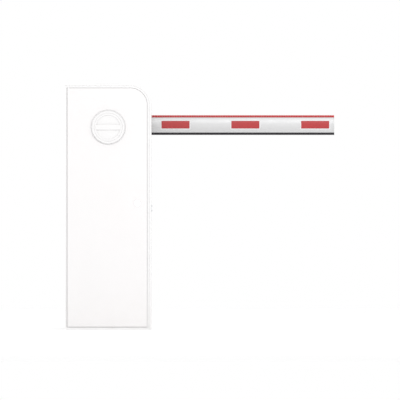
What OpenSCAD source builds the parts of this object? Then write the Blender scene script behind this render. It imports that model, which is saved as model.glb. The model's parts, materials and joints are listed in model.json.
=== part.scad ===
// Parking barrier gate: a sheet-steel cabinet with a lifting boom on its rear face.
// X runs along the boom, Y from the door to the rear, Z up. The origin is on the
// floor, at the centre of the anchor-bolt pattern. All sizes are in millimetres.

/* [Cabinet] */
// Width across the front
cab_w = 352; // [330:2:400]
// Height above the floor
cab_h = 1005; // [960:5:1100]
// Radius of the upper right-hand corner
corner_r = 86; // [40:2:100]
// Width of the visible frame beside and above the door
rim = 15.5; // [13:0.5:18]
// Width of the visible frame below the door
rim_low = 9.5; // [8:0.5:12]
// Width of the visible frame on the hinge side
rim_hinge = 6.5; // [6:0.5:7]

/* [Boom] */
// Distance from the shaft to the tip of the boom
boom_reach = 929; // [650:1:3000]
// Height of the boom's aluminium profile
boom_h = 62; // [56:1:66]
// Thickness of the boom's aluminium profile
boom_t = 43.6; // [40:0.2:43.6]
// Height of the boom's axis above the shaft's axis
boom_rise = 11.7; // [4:0.1:14]
// Height of the red light strip on top of the profile
strip_h = 9.4; // [6:0.1:10]
// Height of the rubber edge below the profile
bumper_h = 9.7; // [7:0.1:12]

/* [Reflectors] */
// Length of one red reflector
reflector_w = 115.5; // [80:0.5:140]
// Height of one red reflector
reflector_h = 31.5; // [24:0.5:36]
// Distance from one reflector to the next
reflector_pitch = 288; // [180:0.5:400]
// Distance from the shaft to the middle of the first reflector
reflector_first = 274.5; // [200:0.5:300]

/* [Drive] */
// Height of the main shaft above the floor
shaft_z = 828; // [824:1:832]
// Diameter of the main shaft
shaft_d = 35; // [30:1:35]
// Centre distance of the drive lever, and of the crank that moves it
crank_len = 70; // [64:1:72]
// Length of the link between the two pins, equal to the distance between the two shafts
link_len = 270; // [268:1:272]
// Centre distance of the spring lever
spring_len = 50; // [46:1:54]

/* [Hidden] */

$fn = 64;
cut = 1;                       // how far a cutting shape runs past the face that it cuts
sheet = 2;                     // thickness of the casing's steel sheet
front_y = -145;                // front face of the frame and of the door
frame_back_y = -131;           // rear face of the front frame
lip_y = -135;                  // front face of the lip that the door's seal closes on
lip_w = 22;                    // how far that lip stands in from the frame's opening
rear_y = 145;                  // rear face of the cabinet
half_w = cab_w / 2;
base_t = 8;                    // thickness of the base plate
post = 25;                     // width of the corner posts' two legs
post_t = 3;                    // their thickness
post_top = 910;
post_front_y = -122;           // front face of the front posts
post_rear_y = 138;             // rear face of the rear posts
plate_y = 104;                 // front face of the mounting plate
plate_t = 6;
beam_y = post_front_y + post_t;
beam_t = 5;
beam_x = half_w - sheet - post_t;

shaft_r = shaft_d / 2;
gear_z = shaft_z - link_len;   // height of the gearbox's output shaft
rest_angle = -45;              // direction of the drive lever and the crank at rest
link_x = crank_len * cos(rest_angle);
lever_y = -36;                 // front face of the drive lever and of the crank
lever_t = 12;
link_y = -21;                  // front face of the link's rod ends
link_t = 16;
pin_r = 7;
spring_plane_y = -62;          // plane in which the balance spring lies
anchor_x = -spring_len / 2;
anchor_z = 392;                // height of the eye that the spring hangs on
gear_y = 14;                   // front face of the gearbox housing
worm_x = -58;                  // the worm stands beside the wheel, at the sum of both pitch radii
worm_y = (gear_y + plate_y) / 2;
module_mm = 3;
wheel_teeth = 30;
wheel_pitch_r = module_mm * wheel_teeth / 2;
worm_lead = PI * module_mm;
worm_pitch_r = abs(worm_x) - wheel_pitch_r;
worm_shaft_r = 7;
out_r = 14;                    // radius of the gearbox's output shaft

door_gap = 1.2;                // gap between the door and the frame
door_gap_hinge = 2.1;
door_gap_low = 2;
hinge_in = 3.5;                // distance of the hinge's axis from the door's edge and from its face
pivot_x = -half_w + rim_hinge + door_gap_hinge + hinge_in;
pivot_y = front_y + hinge_in;
pivot_r = 2;
pivot_len = 20;                // length of a hinge pin, and how much of it stands in the frame
pivot_seat = 7;
hub_hole_r = 71;               // opening in the door around the hub cap
hub_cap_r = 67.5;
lock_x = 119;
lock_z = 517;
strike_z = 497;                // the strike plate on the frame's right edge, with its two screws
strike_half = 16;
strike_t = 1.8;
strike_screw = 10;

holder_y = 172;                // front face of the boom holder's back plate
holder_t = 6;
boom_z = shaft_z + boom_rise;
boom_seat = 22;                // half the space between the boom's holder and its clamp
boom_y = holder_y + holder_t + boom_seat;
boom_tail = 95;                // how far the boom's tail reaches behind the shaft
cap_t = 5;
strip_start = 100;
slot_mouth = 6;                // the slots in the boom's top and bottom, narrower at the surface
slot_inner = 11;
slot_depth = 8;
slot_lip = 3;

enamel = [0.96, 0.95, 0.95];
frame_grey = [0.86, 0.86, 0.87];
cap_grey = [0.80, 0.80, 0.80];
steel = [0.62, 0.63, 0.65];
zinc = [0.74, 0.75, 0.76];
cast_grey = [0.42, 0.45, 0.48];
boom_white = [0.90, 0.90, 0.90];
signal_red = [0.72, 0.16, 0.15];
rubber_black = [0.05, 0.05, 0.055];

// ---------- helpers ----------

// A flat outline, drawn in X and Z, made solid from y0 to y1.
module slab(y0, y1) {
    translate([0, y1, 0]) rotate([90, 0, 0]) linear_extrude(height = y1 - y0) children();
}

// A round bar along Y.
module bar_y(r, y0, y1, x = 0, z = 0) {
    translate([x, y1, z]) rotate([90, 0, 0]) cylinder(r = r, h = y1 - y0);
}

// A box given by its lowest and highest corners.
module block(low, high) {
    translate(low) cube(high - low);
}

// The cabinet's front outline, set in from each side by its own amount. Equal insets at the
// right and the top keep the round corner concentric.
module outline(left = 0, right = 0, top = 0, bottom = 0) {
    x0 = -half_w + left;
    x1 = half_w - right;
    z0 = bottom;
    z1 = cab_h - top;
    r = corner_r - right;
    difference() {
        translate([x0, z0]) square([x1 - x0, z1 - z0]);
        translate([x1 - r, z1 - r]) difference() {
            square(r + cut);
            circle(r, $fn = 96);
        }
    }
}

module frame_opening(inset = 0) {
    outline(rim_hinge + inset, rim + inset, rim + inset, rim_low + inset);
}

module door_outline(inset = 0) {
    outline(rim_hinge + door_gap_hinge + inset, rim + door_gap + inset,
            rim + door_gap + inset, rim_low + door_gap_low + inset);
}

module ring2d(outer, inner) {
    difference() {
        circle(outer);
        circle(inner);
    }
}

// A hexagon head or nut along Y, size across the flats.
module hex_y(flats, y0, y1, x, z) {
    translate([x, y1, z]) rotate([90, 0, 0]) cylinder(r = flats / sqrt(3), h = y1 - y0, $fn = 6);
}

// A lever: a boss on the shaft, an arm and an eye, at an angle from +X.
module lever2d(length, boss_r, eye_r, half_width, angle) {
    rotate(angle) union() {
        circle(boss_r);
        translate([length, 0]) circle(eye_r);
        translate([0, -half_width]) square([length, 2 * half_width]);
    }
}

// ---------- cabinet ----------

anchor_dx = 250;
anchor_dy = 190;
anchor_hole_r = 8;
cable_w = 120;
cable_d = 80;

module base_plate() {
    color(zinc) difference() {
        block([-half_w + sheet, frame_back_y, 0], [half_w - sheet, rear_y - sheet, base_t]);
        for (x = [-1, 1], y = [-1, 1])
            translate([x * anchor_dx / 2, y * anchor_dy / 2, -cut])
                cylinder(r = anchor_hole_r, h = base_t + 2 * cut);
        block([-cable_w / 2, -cable_d / 4, -cut], [cable_w / 2, 3 * cable_d / 4, base_t + cut]);
    }
}

// Four angle posts stand on the base plate, in the corners of the casing.
module corner_posts() {
    x0 = half_w - sheet - post;
    x1 = half_w - sheet;
    color(zinc) for (side = [0, 1]) mirror([side, 0, 0]) {
        block([x0, post_front_y, base_t], [x1, post_front_y + post_t, post_top]);
        block([x1 - post_t, post_front_y, base_t], [x1, post_front_y + post, post_top]);
        block([x0, plate_y + plate_t, base_t], [x1, plate_y + plate_t + post_t, post_top]);
        block([x1 - post_t, plate_y + plate_t, base_t], [x1, post_rear_y, post_top]);
    }
}

// The two walls and the roof are one folded sheet, with a flange round the rear opening.
module casing_shell() {
    flange = 18;
    color(enamel) union() {
        slab(frame_back_y, rear_y - sheet) difference() {
            outline();
            outline(sheet, sheet, sheet, -cut);
        }
        slab(rear_y - 2 * sheet, rear_y - sheet) difference() {
            outline(sheet / 2, sheet / 2, sheet / 2, base_t);
            outline(flange, flange, flange, flange + base_t);
        }
    }
}

// The bezel round the door: its rim, a shallow groove along the rim, and the inner lip.
module front_frame() {
    groove_in = 6;
    groove_w = 3.2;
    groove_t = 1.4;
    open_end = 40;
    color(frame_grey) difference() {
        union() {
            slab(front_y, frame_back_y) difference() {
                outline();
                frame_opening();
            }
            slab(lip_y, frame_back_y) difference() {
                outline(rim_hinge / 2, rim / 2, rim / 2, rim_low / 2);
                frame_opening(lip_w);
            }
        }
        slab(front_y - cut, front_y + groove_t) difference() {
            outline(-open_end, groove_in, groove_in, -open_end);
            outline(-2 * open_end, groove_in + groove_w, groove_in + groove_w, -2 * open_end);
        }
        for (z = [rim_low - pivot_seat, cab_h - rim - cut])
            translate([pivot_x, pivot_y, z]) cylinder(r = pivot_r, h = pivot_seat + cut);
    }
}

rear_screw_in = 10;            // distance of the rear panel's screws from its edges
rear_screws = [
    for (x = [-1, 1], z = [60:260:840]) [x * (half_w - rear_screw_in), z],
    for (x = [-90, 60]) [x, cab_h - rear_screw_in]
];

module rear_panel() {
    louvre_w = 70;
    louvre_h = 5;
    louvre_x = 55;
    louvre_z = 430;
    louvre_pitch = 14;
    shaft_hole_r = 24;
    color(enamel) difference() {
        slab(rear_y - sheet, rear_y) outline();
        bar_y(shaft_hole_r, rear_y - 2 * sheet, rear_y + cut, 0, shaft_z);
        for (x = [-louvre_x, louvre_x], i = [0:7])
            translate([x, 0, louvre_z + louvre_pitch * i])
                block([-louvre_w / 2, rear_y - 2 * sheet, 0], [louvre_w / 2, rear_y + cut, louvre_h]);
    }
}

// A button-head screw, its seat at the origin and its head towards +Z.
module button_screw() {
    head_r = 4.5;
    head_h = 3.2;
    dome_r = 7;
    socket_r = 1.7;
    socket_d = 1.8;
    difference() {
        rotate_extrude() intersection() {
            translate([0, head_h - dome_r]) circle(dome_r);
            square([head_r, head_h]);
        }
        translate([0, 0, head_h - socket_d]) cylinder(r = socket_r, h = socket_d + cut, $fn = 6);
    }
}

// The screws of the rear panel and of the strike plate.
module casing_screws() {
    color(steel) {
        for (p = rear_screws) translate([p[0], rear_y, p[1]]) rotate([-90, 0, 0]) button_screw();
        for (side = [-1, 1])
            translate([half_w + strike_t, (front_y + frame_back_y) / 2, strike_z + side * strike_screw])
                rotate([0, 90, 0]) button_screw();
    }
}

// A low blanking plate on the roof, above the shaft.
module roof_plate() {
    plate_w = 115;
    plate_d = 150;
    plate_h = 1.8;
    color(frame_grey)
        block([-plate_w / 2, -plate_d / 2, cab_h], [plate_w / 2, plate_d / 2, cab_h + plate_h]);
}

module door_pivot_pins() {
    color(steel) for (z = [rim_low - pivot_seat, cab_h - rim + pivot_seat - pivot_len])
        translate([pivot_x, pivot_y, z]) cylinder(r = pivot_r, h = pivot_len);
}

module strike_plate() {
    edge = 1;
    color(zinc) block([half_w, front_y + edge, strike_z - strike_half],
                      [half_w + strike_t, frame_back_y - edge, strike_z + strike_half]);
}

// ---------- shaft bearings and their supports ----------

beam_half_h = 46;
beam_face = beam_y + beam_t;
housing_t = 12;
housing_bolt_x = 50;
shaft_pass_r = 26;             // hole round the shaft in the beam and in the mounting plate

module bearing_beam() {
    flange_d = 18;
    color(cast_grey) difference() {
        union() {
            block([-beam_x, beam_y, shaft_z - beam_half_h], [beam_x, beam_face, shaft_z + beam_half_h]);
            for (z = [-beam_half_h, beam_half_h - beam_t])
                block([-beam_x, beam_y, shaft_z + z], [beam_x, beam_face + flange_d, shaft_z + z + beam_t]);
        }
        bar_y(shaft_pass_r, beam_y - cut, beam_face + cut, 0, shaft_z);
    }
}

// A two-bolt flange with a round boss, bored for its bearing insert.
insert_r = 31;
module bearing_housing(y, toward) {
    flange_r = 62;
    flange_h = 69;
    boss_r = 38;
    boss_t = 28;
    y_flange = toward > 0 ? [y, y + housing_t] : [y - housing_t, y];
    y_boss = toward > 0 ? [y, y + boss_t] : [y - boss_t, y];
    difference() {
        union() {
            slab(y_flange[0], y_flange[1]) translate([0, shaft_z]) intersection() {
                circle(flange_r);
                square([2 * flange_r, flange_h], center = true);
            }
            bar_y(boss_r, y_boss[0], y_boss[1], 0, shaft_z);
        }
        bar_y(insert_r, y_boss[0] - cut, y_boss[1] + cut, 0, shaft_z);
    }
}

module bearing_housings() {
    color(cast_grey) {
        bearing_housing(beam_face, 1);
        bearing_housing(plate_y, -1);
    }
}

// Sealed ball-bearing inserts, with running clearance on the shaft.
module bearing_inserts() {
    running = 0.03;
    width = 20;
    seal_r = [28, 22];
    seal_d = 1;
    inset = 4;
    color(steel) for (y = [beam_face + inset, plate_y - inset - width])
        difference() {
            bar_y(insert_r, y, y + width, 0, shaft_z);
            bar_y(shaft_r + running, y - cut, y + width + cut, 0, shaft_z);
            for (face = [y - cut, y + width - seal_d])
                slab(face, face + seal_d + cut) translate([0, shaft_z]) ring2d(seal_r[0], seal_r[1]);
        }
}

// The plate that carries the rear bearing, the gearbox, the stops and the electrics.
module mount_plate() {
    x1 = half_w - sheet - 1;
    low = 60;
    high = post_top - 8;
    color(zinc) difference() {
        block([-x1, plate_y, low], [x1, plate_y + plate_t, high]);
        bar_y(shaft_pass_r, plate_y - cut, plate_y + plate_t + cut, 0, shaft_z);
    }
}

module frame_bolts() {
    x_bolt = half_w - sheet - 14;
    flats = 13;
    head = 6;
    row = 20;
    color(steel) {
        for (x = [-x_bolt, x_bolt], z = [shaft_z - row, shaft_z + row, spring_beam_z - row])
            hex_y(flats, beam_face, beam_face + head, x, z);
        for (x = [-x_bolt, x_bolt], z = [90, 300, 500, 700, 870])
            hex_y(flats, plate_y - head, plate_y, x, z);
        for (x = [-housing_bolt_x, housing_bolt_x]) {
            hex_y(flats, beam_face + housing_t, beam_face + housing_t + head, x, shaft_z);
            hex_y(flats, plate_y - housing_t - head, plate_y - housing_t, x, shaft_z);
        }
        for (x = foot_x, z = foot_z)
            hex_y(flats, plate_y - foot_t - head, plate_y - foot_t, x, z + foot_h / 2);
    }
}

// Two rubber rollers stop the drive lever at its limits.
stop_r = 12;
stop_gap = 0.4;
lever_half = 14;
stop_arm = 55;
stop_off = lever_half + stop_r + stop_gap;
stop_dx = (stop_arm - stop_off) * cos(45);
stop_dz = (stop_arm + stop_off) * cos(45);

stop_core_r = 5;
stop_low_y = lever_y - 6;
stop_high_y = lever_y + lever_t + 3;

module stop_posts() {
    post_r = 8;
    head_r = 9;
    head_t = 3;
    color(zinc) for (side = [-1, 1]) translate([stop_dx, 0, shaft_z + side * stop_dz]) {
        bar_y(post_r, stop_high_y, plate_y);
        bar_y(stop_core_r, stop_low_y, stop_high_y);
        bar_y(head_r, stop_low_y - head_t, stop_low_y);
    }
}

module stop_buffers() {
    color(rubber_black) for (side = [-1, 1]) translate([stop_dx, 0, shaft_z + side * stop_dz])
        difference() {
            bar_y(stop_r, stop_low_y + 1, stop_high_y - 1);
            bar_y(stop_core_r, stop_low_y, stop_high_y);
        }
}

// ---------- gear motor ----------

case_half = 62;                 // half the height of the gearbox, and its reach past the wheel's axis
case_x0 = worm_x - 30;
case_x1 = case_half;
case_z0 = gear_z - case_half;
case_z1 = gear_z + case_half;
case_back = 10;                // thickness of its rear wall
cover_t = 6;
cavity_r = 51;
tunnel_r = 19;
seat_r = 22;
foot_t = 6;
foot_h = 20;
foot_out = 18;                 // how far the feet stand out from the gearbox
foot_in = 8;                   // their distance from its ends
foot_x = [case_x0 - foot_out / 2, case_x1 + foot_out / 2];
foot_z = [case_z0 + foot_in, case_z1 - foot_in - foot_h];

module gearbox_housing() {
    color(cast_grey) difference() {
        union() {
            block([case_x0, gear_y, case_z0], [case_x1, plate_y, case_z1]);
            for (z = foot_z)
                block([case_x0 - foot_out, plate_y - foot_t, z], [case_x1 + foot_out, plate_y, z + foot_h]);
        }
        bar_y(cavity_r, gear_y - cut, plate_y - case_back, 0, gear_z);
        bar_y(seat_r, plate_y - case_back - cut, plate_y + cut, 0, gear_z);
        translate([worm_x, worm_y, case_z0 - cut]) cylinder(r = tunnel_r, h = case_z1 - case_z0 + 2 * cut);
    }
}

module gearbox_cover() {
    boss_r = 30;
    boss_front = gear_y - 14;
    color(cast_grey) difference() {
        union() {
            block([case_x0, gear_y - cover_t, case_z0], [case_x1, gear_y, case_z1]);
            bar_y(boss_r, boss_front, gear_y - cover_t + cut, 0, gear_z);
        }
        bar_y(seat_r, boss_front - cut, gear_y + cut, 0, gear_z);
    }
}

module gearbox_bolts() {
    inset = 9;
    flats = 10;
    head = 5;
    color(steel) for (x = [case_x0 + inset, case_x1 - inset], z = [case_z0 + inset, case_z1 - inset])
        hex_y(flats, gear_y - cover_t - head, gear_y - cover_t, x, z);
}

// Ball bearings of the output shaft and of the worm.
module gear_bearings() {
    running = 0.05;
    wheel_w = 8;
    worm_w = 10;
    inset = 2;
    color(steel) {
        for (y = [gear_y - 11, plate_y - 9]) difference() {
            bar_y(seat_r, y, y + wheel_w, 0, gear_z);
            bar_y(out_r + running, y - cut, y + wheel_w + cut, 0, gear_z);
        }
        for (z = [case_z0 + inset, case_z1 - inset - worm_w]) translate([worm_x, worm_y, z]) difference() {
            cylinder(r = tunnel_r, h = worm_w);
            translate([0, 0, -cut]) cylinder(r = worm_shaft_r + running, h = worm_w + 2 * cut);
        }
    }
}

motor_r = 42;
motor_top = case_z0;
motor_low = 384;

motor_bore_r = motor_r - 9;
terminal_box = [36, 35, 54];   // the motor's terminal box, and how far it stands out in front
terminal_out = 25;
terminal_z = motor_low + 24;   // its underside

module motor_housing() {
    fins = 20;
    fin_t = 2.4;
    fin_d = 8;
    flange_t = 8;
    height = motor_top - motor_low;
    color(cast_grey) translate([worm_x, worm_y, motor_low]) difference() {
        union() {
            cylinder(r = motor_r - 4, h = height);
            translate([0, 0, height - flange_t]) cylinder(r = motor_r, h = flange_t);
            for (i = [0:fins - 1]) rotate(360 * i / fins)
                translate([motor_r - fin_d, -fin_t / 2, 0]) cube([fin_d, fin_t, height - flange_t / 2]);
            translate([-terminal_box.x / 2, -motor_r - terminal_out, terminal_z - motor_low])
                cube(terminal_box);
        }
        translate([0, 0, -cut]) cylinder(r = motor_bore_r, h = height + 2 * cut);
    }
}

module motor_end_bell() {
    height = 14;
    floor_t = 4;
    color(rubber_black) translate([worm_x, worm_y, motor_low - height]) difference() {
        cylinder(r = motor_r - 2, h = height);
        translate([0, 0, floor_t]) cylinder(r = motor_bore_r, h = height);
    }
}

// ---------- spring anchor ----------

spring_beam_z = 330;
shelf_t = 6;                   // thickness of the shelf that the anchor's rod passes through
anchor_pin_r = 5;

module spring_beam() {
    shelf_y = -36;
    web_h = 40;
    rod_hole_r = 7;
    color(cast_grey) difference() {
        union() {
            block([-beam_x, beam_y, spring_beam_z], [beam_x, shelf_y, spring_beam_z + shelf_t]);
            block([-beam_x, beam_y, spring_beam_z - web_h], [beam_x, beam_face, spring_beam_z + shelf_t]);
        }
        translate([anchor_x, spring_plane_y, spring_beam_z - cut])
            cylinder(r = rod_hole_r, h = shelf_t + 2 * cut);
    }
}

module hex_z(flats, z0, z1, x, y) {
    translate([x, y, z0]) cylinder(r = flats / sqrt(3), h = z1 - z0, $fn = 6);
}

// A threaded rod with a fork and a cross pin sets the spring's tension. A nut on each side
// of the beam holds it.
module spring_anchor() {
    fork_x = 18;
    fork_y = 26;
    cheek_t = 4;
    fork_low = anchor_z - 26;
    fork_floor = 8;
    fork_high = anchor_z + 9;
    pin_out = 3;
    rod_r = 6;
    rod_low = spring_beam_z - 42;
    nut_flats = 19;
    nut_h = 10;
    color(zinc) translate([anchor_x, spring_plane_y, 0]) {
        translate([0, 0, rod_low]) cylinder(r = rod_r, h = fork_low + fork_floor / 4 - rod_low);
        block([-fork_x / 2, -fork_y / 2, fork_low], [fork_x / 2, fork_y / 2, fork_low + fork_floor]);
        for (side = [0, 1]) mirror([0, side, 0])
            block([-fork_x / 2, fork_y / 2 - cheek_t, fork_low], [fork_x / 2, fork_y / 2, fork_high]);
        bar_y(anchor_pin_r, -fork_y / 2 - pin_out, fork_y / 2 + pin_out, 0, anchor_z);
        for (z = [spring_beam_z - nut_h, spring_beam_z + shelf_t]) hex_z(nut_flats, z, z + nut_h, 0, 0);
    }
}

// ---------- electrics ----------

box_w = 220;
box_low = 90;
box_high = 270;
box_front = 30;
box_wall = 3;
lid_t = 10;
display_x = [-80, -20];        // the sunk window of the display, and four sunk button seats
display_z = [205, 240];
button_x = [10:22:76];
button_z = 222;
button_r = 5;

module control_box() {
    color([0.80, 0.81, 0.82]) difference() {
        block([-box_w / 2, box_front, box_low], [box_w / 2, plate_y, box_high]);
        block([-box_w / 2 + box_wall, box_front - cut, box_low + box_wall],
              [box_w / 2 - box_wall, plate_y - box_wall, box_high - box_wall]);
    }
}

module control_box_lid() {
    face = box_front - lid_t;
    sunk = 2;
    color([0.30, 0.32, 0.34]) difference() {
        block([-box_w / 2, face, box_low], [box_w / 2, box_front, box_high]);
        block([display_x[0], face - cut, display_z[0]], [display_x[1], face + sunk, display_z[1]]);
        for (x = button_x) bar_y(button_r, face - cut, face + sunk, x, button_z);
    }
}

rail_z = 300;
rail_h = 35;
rail_mid = rail_z + rail_h / 2;
rail_front = plate_y - 8;
module din_rail() {
    x0 = -130;
    x1 = 60;
    edge = 5;
    rail_t = 1.5;
    color(zinc) difference() {
        block([x0, rail_front, rail_z], [x1, plate_y, rail_z + rail_h]);
        block([x0 - cut, rail_front - cut, rail_z + edge],
              [x1 + cut, plate_y - rail_t, rail_z + rail_h - edge]);
    }
}

breaker_x = -120;
breaker_w = 36;
nose_y = plate_y - 68;
module circuit_breaker() {
    x1 = breaker_x + breaker_w;
    shoulder_y = plate_y - 50;
    body_half = 41.5;
    nose_half = 22.5;
    seat_half = 12.5;
    seat_in = 9;
    seat_d = 12;
    color([0.88, 0.88, 0.87]) translate([0, 0, rail_mid]) difference() {
        union() {
            block([breaker_x, shoulder_y, -body_half], [x1, rail_front, body_half]);
            block([breaker_x, nose_y, -nose_half], [x1, shoulder_y + cut, nose_half]);
        }
        block([breaker_x + seat_in, nose_y - cut, -seat_half], [x1 - seat_in, nose_y + seat_d, seat_half]);
    }
}

// The breaker's toggle turns on a pivot across X.
module breaker_toggle() {
    toggle_w = 17;
    toggle_y = nose_y + 4;
    drum_r = 6;
    reach = 15;
    grip_t = 5;
    up = 35;
    color([0.10, 0.10, 0.11])
        translate([breaker_x + (breaker_w - toggle_w) / 2, toggle_y, rail_mid]) union() {
            rotate([0, 90, 0]) cylinder(r = drum_r, h = toggle_w);
            rotate([up, 0, 0]) translate([0, -reach, -grip_t / 2]) cube([toggle_w, reach, grip_t]);
        }
}

module terminal_blocks() {
    count = 12;
    pitch = 10;
    width = 9.6;
    first_x = -70;
    half = 25.5;
    front = plate_y - 44;
    screw_off = 17;
    screw_seat_r = 2.6;
    seat_d = 8;
    color([0.45, 0.50, 0.52])
        for (i = [0:count - 1]) translate([first_x + pitch * i, 0, rail_mid]) difference() {
            block([0, front, -half], [width, rail_front, half]);
            for (side = [-1, 1])
                bar_y(screw_seat_r, front - cut, front + seat_d, width / 2, side * screw_off);
        }
}

// The motor's cable, held between its housing and the control box.
cable_r = 4;
gland_h = 14;
gland_off = 13;                // the motor's gland stands this far in front of the motor
gland_top = [worm_x, worm_y - motor_r - gland_off, terminal_z];
gland_low = [78, 44, box_high];
gland_pitch = 30;
cable_route = [
    gland_top - [0, 0, gland_h], gland_top - [0, 0, 34], [-52, 7, 346], [-28, 16, 322], [12, 28, 313],
    [50, 38, 317], [71, 43, 313], gland_low + [0, 0, 30], gland_low + [0, 0, gland_h]
];

// One point of a Catmull-Rom curve through a route, t from 0 to its last index.
function along(route, t) =
    let (n = len(route) - 1, i = min(floor(t), n - 1), f = t - i,
         p0 = route[max(i - 1, 0)], p1 = route[i], p2 = route[i + 1], p3 = route[min(i + 2, n)])
    0.5 * (2 * p1 + f * (p2 - p0) + f * f * (2 * p0 - 5 * p1 + 4 * p2 - p3)
           + f * f * f * (3 * p1 - p0 - 3 * p2 + p3));

function unit(v) = v / norm(v);

// A tube of a given radius swept along a route that never runs along Y.
module tube_along(route, radius, sides = 10, rings = 28) {
    n = len(route) - 1;
    centres = [for (k = [0:rings]) along(route, n * k / rings)];
    ahead = [for (k = [0:rings]) unit(centres[min(k + 1, rings)] - centres[max(k - 1, 0)])];
    points = [
        for (k = [0:rings]) let (u = unit(cross(ahead[k], [0, 1, 0])), v = cross(ahead[k], u))
            for (j = [0:sides - 1]) let (a = 360 * j / sides) centres[k] + radius * (cos(a) * u + sin(a) * v)
    ];
    sides_faces = [
        for (k = [0:rings - 1], j = [0:sides - 1]) let (a = k * sides + j, b = k * sides + (j + 1) % sides)
            for (f = [[a, b, b + sides], [a, b + sides, a + sides]]) f
    ];
    first = [for (j = [sides - 1:-1:0]) j];
    last = [for (j = [0:sides - 1]) rings * sides + j];
    polyhedron(points, concat(sides_faces, [first, last]));
}

module motor_cable() {
    color(rubber_black) tube_along(cable_route, cable_r);
}

// A gland on the motor's terminal box, one on the control box, and a spare beside it.
module cable_glands() {
    gland_r = 10;
    color([0.22, 0.23, 0.24])
        for (p = [gland_top - [0, 0, gland_h], gland_low, gland_low - [gland_pitch, 0, 0]])
            translate(p) cylinder(r = gland_r, h = gland_h, $fn = 6);
}

// ---------- main shaft, hub cap and levers ----------

shaft_front = -126;
nose_r = 12;                   // the shaft's thinner front end carries the cap
cap_back = front_y + 3;
module main_shaft() {
    color(steel) union() {
        bar_y(shaft_r, shaft_front, holder_y, 0, shaft_z);
        bar_y(nose_r, cap_back + 2, shaft_front + 1, 0, shaft_z);
    }
}

// The round cap in the door: stepped rings round a sunk disc with a raised bar across it.
cap_front = front_y - 8;
disc_r = 50;
module hub_cap() {
    bar_half = 10;
    bar_out = 1;
    ring_w = 6.5;
    ring_gap = 2.5;
    ring_step = 0.6;
    ring_h = 2;
    sunk = 4;
    outer_r = hub_cap_r - 2;
    inner_r = outer_r - ring_w - ring_gap;
    root = cap_front + ring_h + cut;
    color(cap_grey) difference() {
        union() {
            bar_y(hub_cap_r, cap_front + ring_h, cap_back, 0, shaft_z);
            slab(cap_front, root) translate([0, shaft_z]) ring2d(outer_r, outer_r - ring_w);
            slab(cap_front + ring_step, root) translate([0, shaft_z]) ring2d(inner_r, inner_r - ring_w);
            slab(cap_front - bar_out, cap_front + sunk + cut) translate([0, shaft_z]) intersection() {
                circle(disc_r + cut);
                square([2 * disc_r, 2 * bar_half], center = true);
            }
        }
        slab(cap_front - cut, cap_front + sunk) translate([0, shaft_z]) difference() {
            circle(disc_r);
            square([2 * (disc_r + cut), 2 * bar_half], center = true);
        }
    }
}

// The flange behind the cap joins it to the shaft. Its collar fills the gap round the cap.
module hub_flange() {
    disc_t = 2.4;
    overlap = 7;
    neck_r = 22;
    collar_gap = 0.6;
    collar_in = 0.3;
    color(cap_grey) difference() {
        union() {
            bar_y(hub_hole_r + overlap, cap_back, cap_back + disc_t, 0, shaft_z);
            slab(front_y + collar_in, cap_back + cut) translate([0, shaft_z])
                ring2d(hub_hole_r - collar_gap, hub_cap_r);
            bar_y(neck_r, cap_back + 1, shaft_front - 1, 0, shaft_z);
        }
        bar_y(nose_r, cap_back + 2, shaft_front, 0, shaft_z);
    }
}

// A pin on the lever or the crank that turns about height z. The link's rod end turns on it.
module link_pin(z) {
    head_r = 10;
    side_play = 0.6;
    end_y = link_y + link_t + 3;
    translate([link_x, 0, z + crank_len * sin(rest_angle)]) {
        bar_y(pin_r, lever_y, end_y);
        bar_y(head_r, link_y + link_t + side_play, end_y);
    }
}

eye_r = 16;                    // round ends of the lever, the crank and the link
module drive_lever() {
    boss_r = 30;
    hub_r = 27;
    hub_out = 6;
    color(cast_grey) difference() {
        union() {
            slab(lever_y, lever_y + lever_t) translate([0, shaft_z])
                lever2d(crank_len, boss_r, eye_r, lever_half, rest_angle);
            bar_y(hub_r, lever_y - hub_out, lever_y + lever_t + hub_out, 0, shaft_z);
            link_pin(shaft_z);
        }
        bar_y(shaft_r, lever_y - hub_out - cut, lever_y + lever_t + hub_out + cut, 0, shaft_z);
    }
}

spring_lever_y = -84;
spring_lever_t = 12;
spring_pin_r = 6;
module spring_lever() {
    boss_r = 28;
    tip_r = 14;
    half_width = 11;
    hub_r = 27;
    hub_t = 18;
    pin_head = [spring_plane_y + 6, spring_plane_y + 9];
    pin_head_r = 9;
    color(cast_grey) difference() {
        union() {
            slab(spring_lever_y, spring_lever_y + spring_lever_t) translate([0, shaft_z])
                lever2d(spring_len, boss_r, tip_r, half_width, 180);
            bar_y(hub_r, spring_lever_y, spring_lever_y + hub_t, 0, shaft_z);
            bar_y(spring_pin_r, spring_lever_y, pin_head[1], -spring_len, shaft_z);
            bar_y(pin_head_r, pin_head[0], pin_head[1], -spring_len, shaft_z);
        }
        bar_y(shaft_r, spring_lever_y - cut, spring_lever_y + hub_t + cut, 0, shaft_z);
    }
}

// ---------- boom ----------

flange_r = 62;
flange_y = 160;
screw_circle = 48;
screw_at = [for (a = [45:90:315]) [screw_circle * cos(a), 0, shaft_z + screw_circle * sin(a)]];
screw_r = 4;
screw_head_r = 8;
screw_head_h = screw_head_r - screw_r;
screw_y = flange_y + 4;        // front end of the flange screws
stud_r = 5;
stud_x = [-62, 74];
stud_z = [-45, 45];
module boom_flange() {
    boss_r = 32;
    boss_y = rear_y + 5;
    color(cast_grey) difference() {
        union() {
            bar_y(flange_r, flange_y, holder_y, 0, shaft_z);
            bar_y(boss_r, boss_y, flange_y + cut, 0, shaft_z);
        }
        bar_y(shaft_r, rear_y, holder_y + cut, 0, shaft_z);
        for (p = screw_at) translate(p) bar_y(screw_r, screw_y, holder_y + cut);
    }
}

// The head of a flange screw, flush with the rear of the holder's back plate.
module countersink() {
    translate([0, holder_y + holder_t - screw_head_h, 0]) rotate([-90, 0, 0])
        cylinder(r1 = screw_r, r2 = screw_head_r, h = screw_head_h);
}

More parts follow.
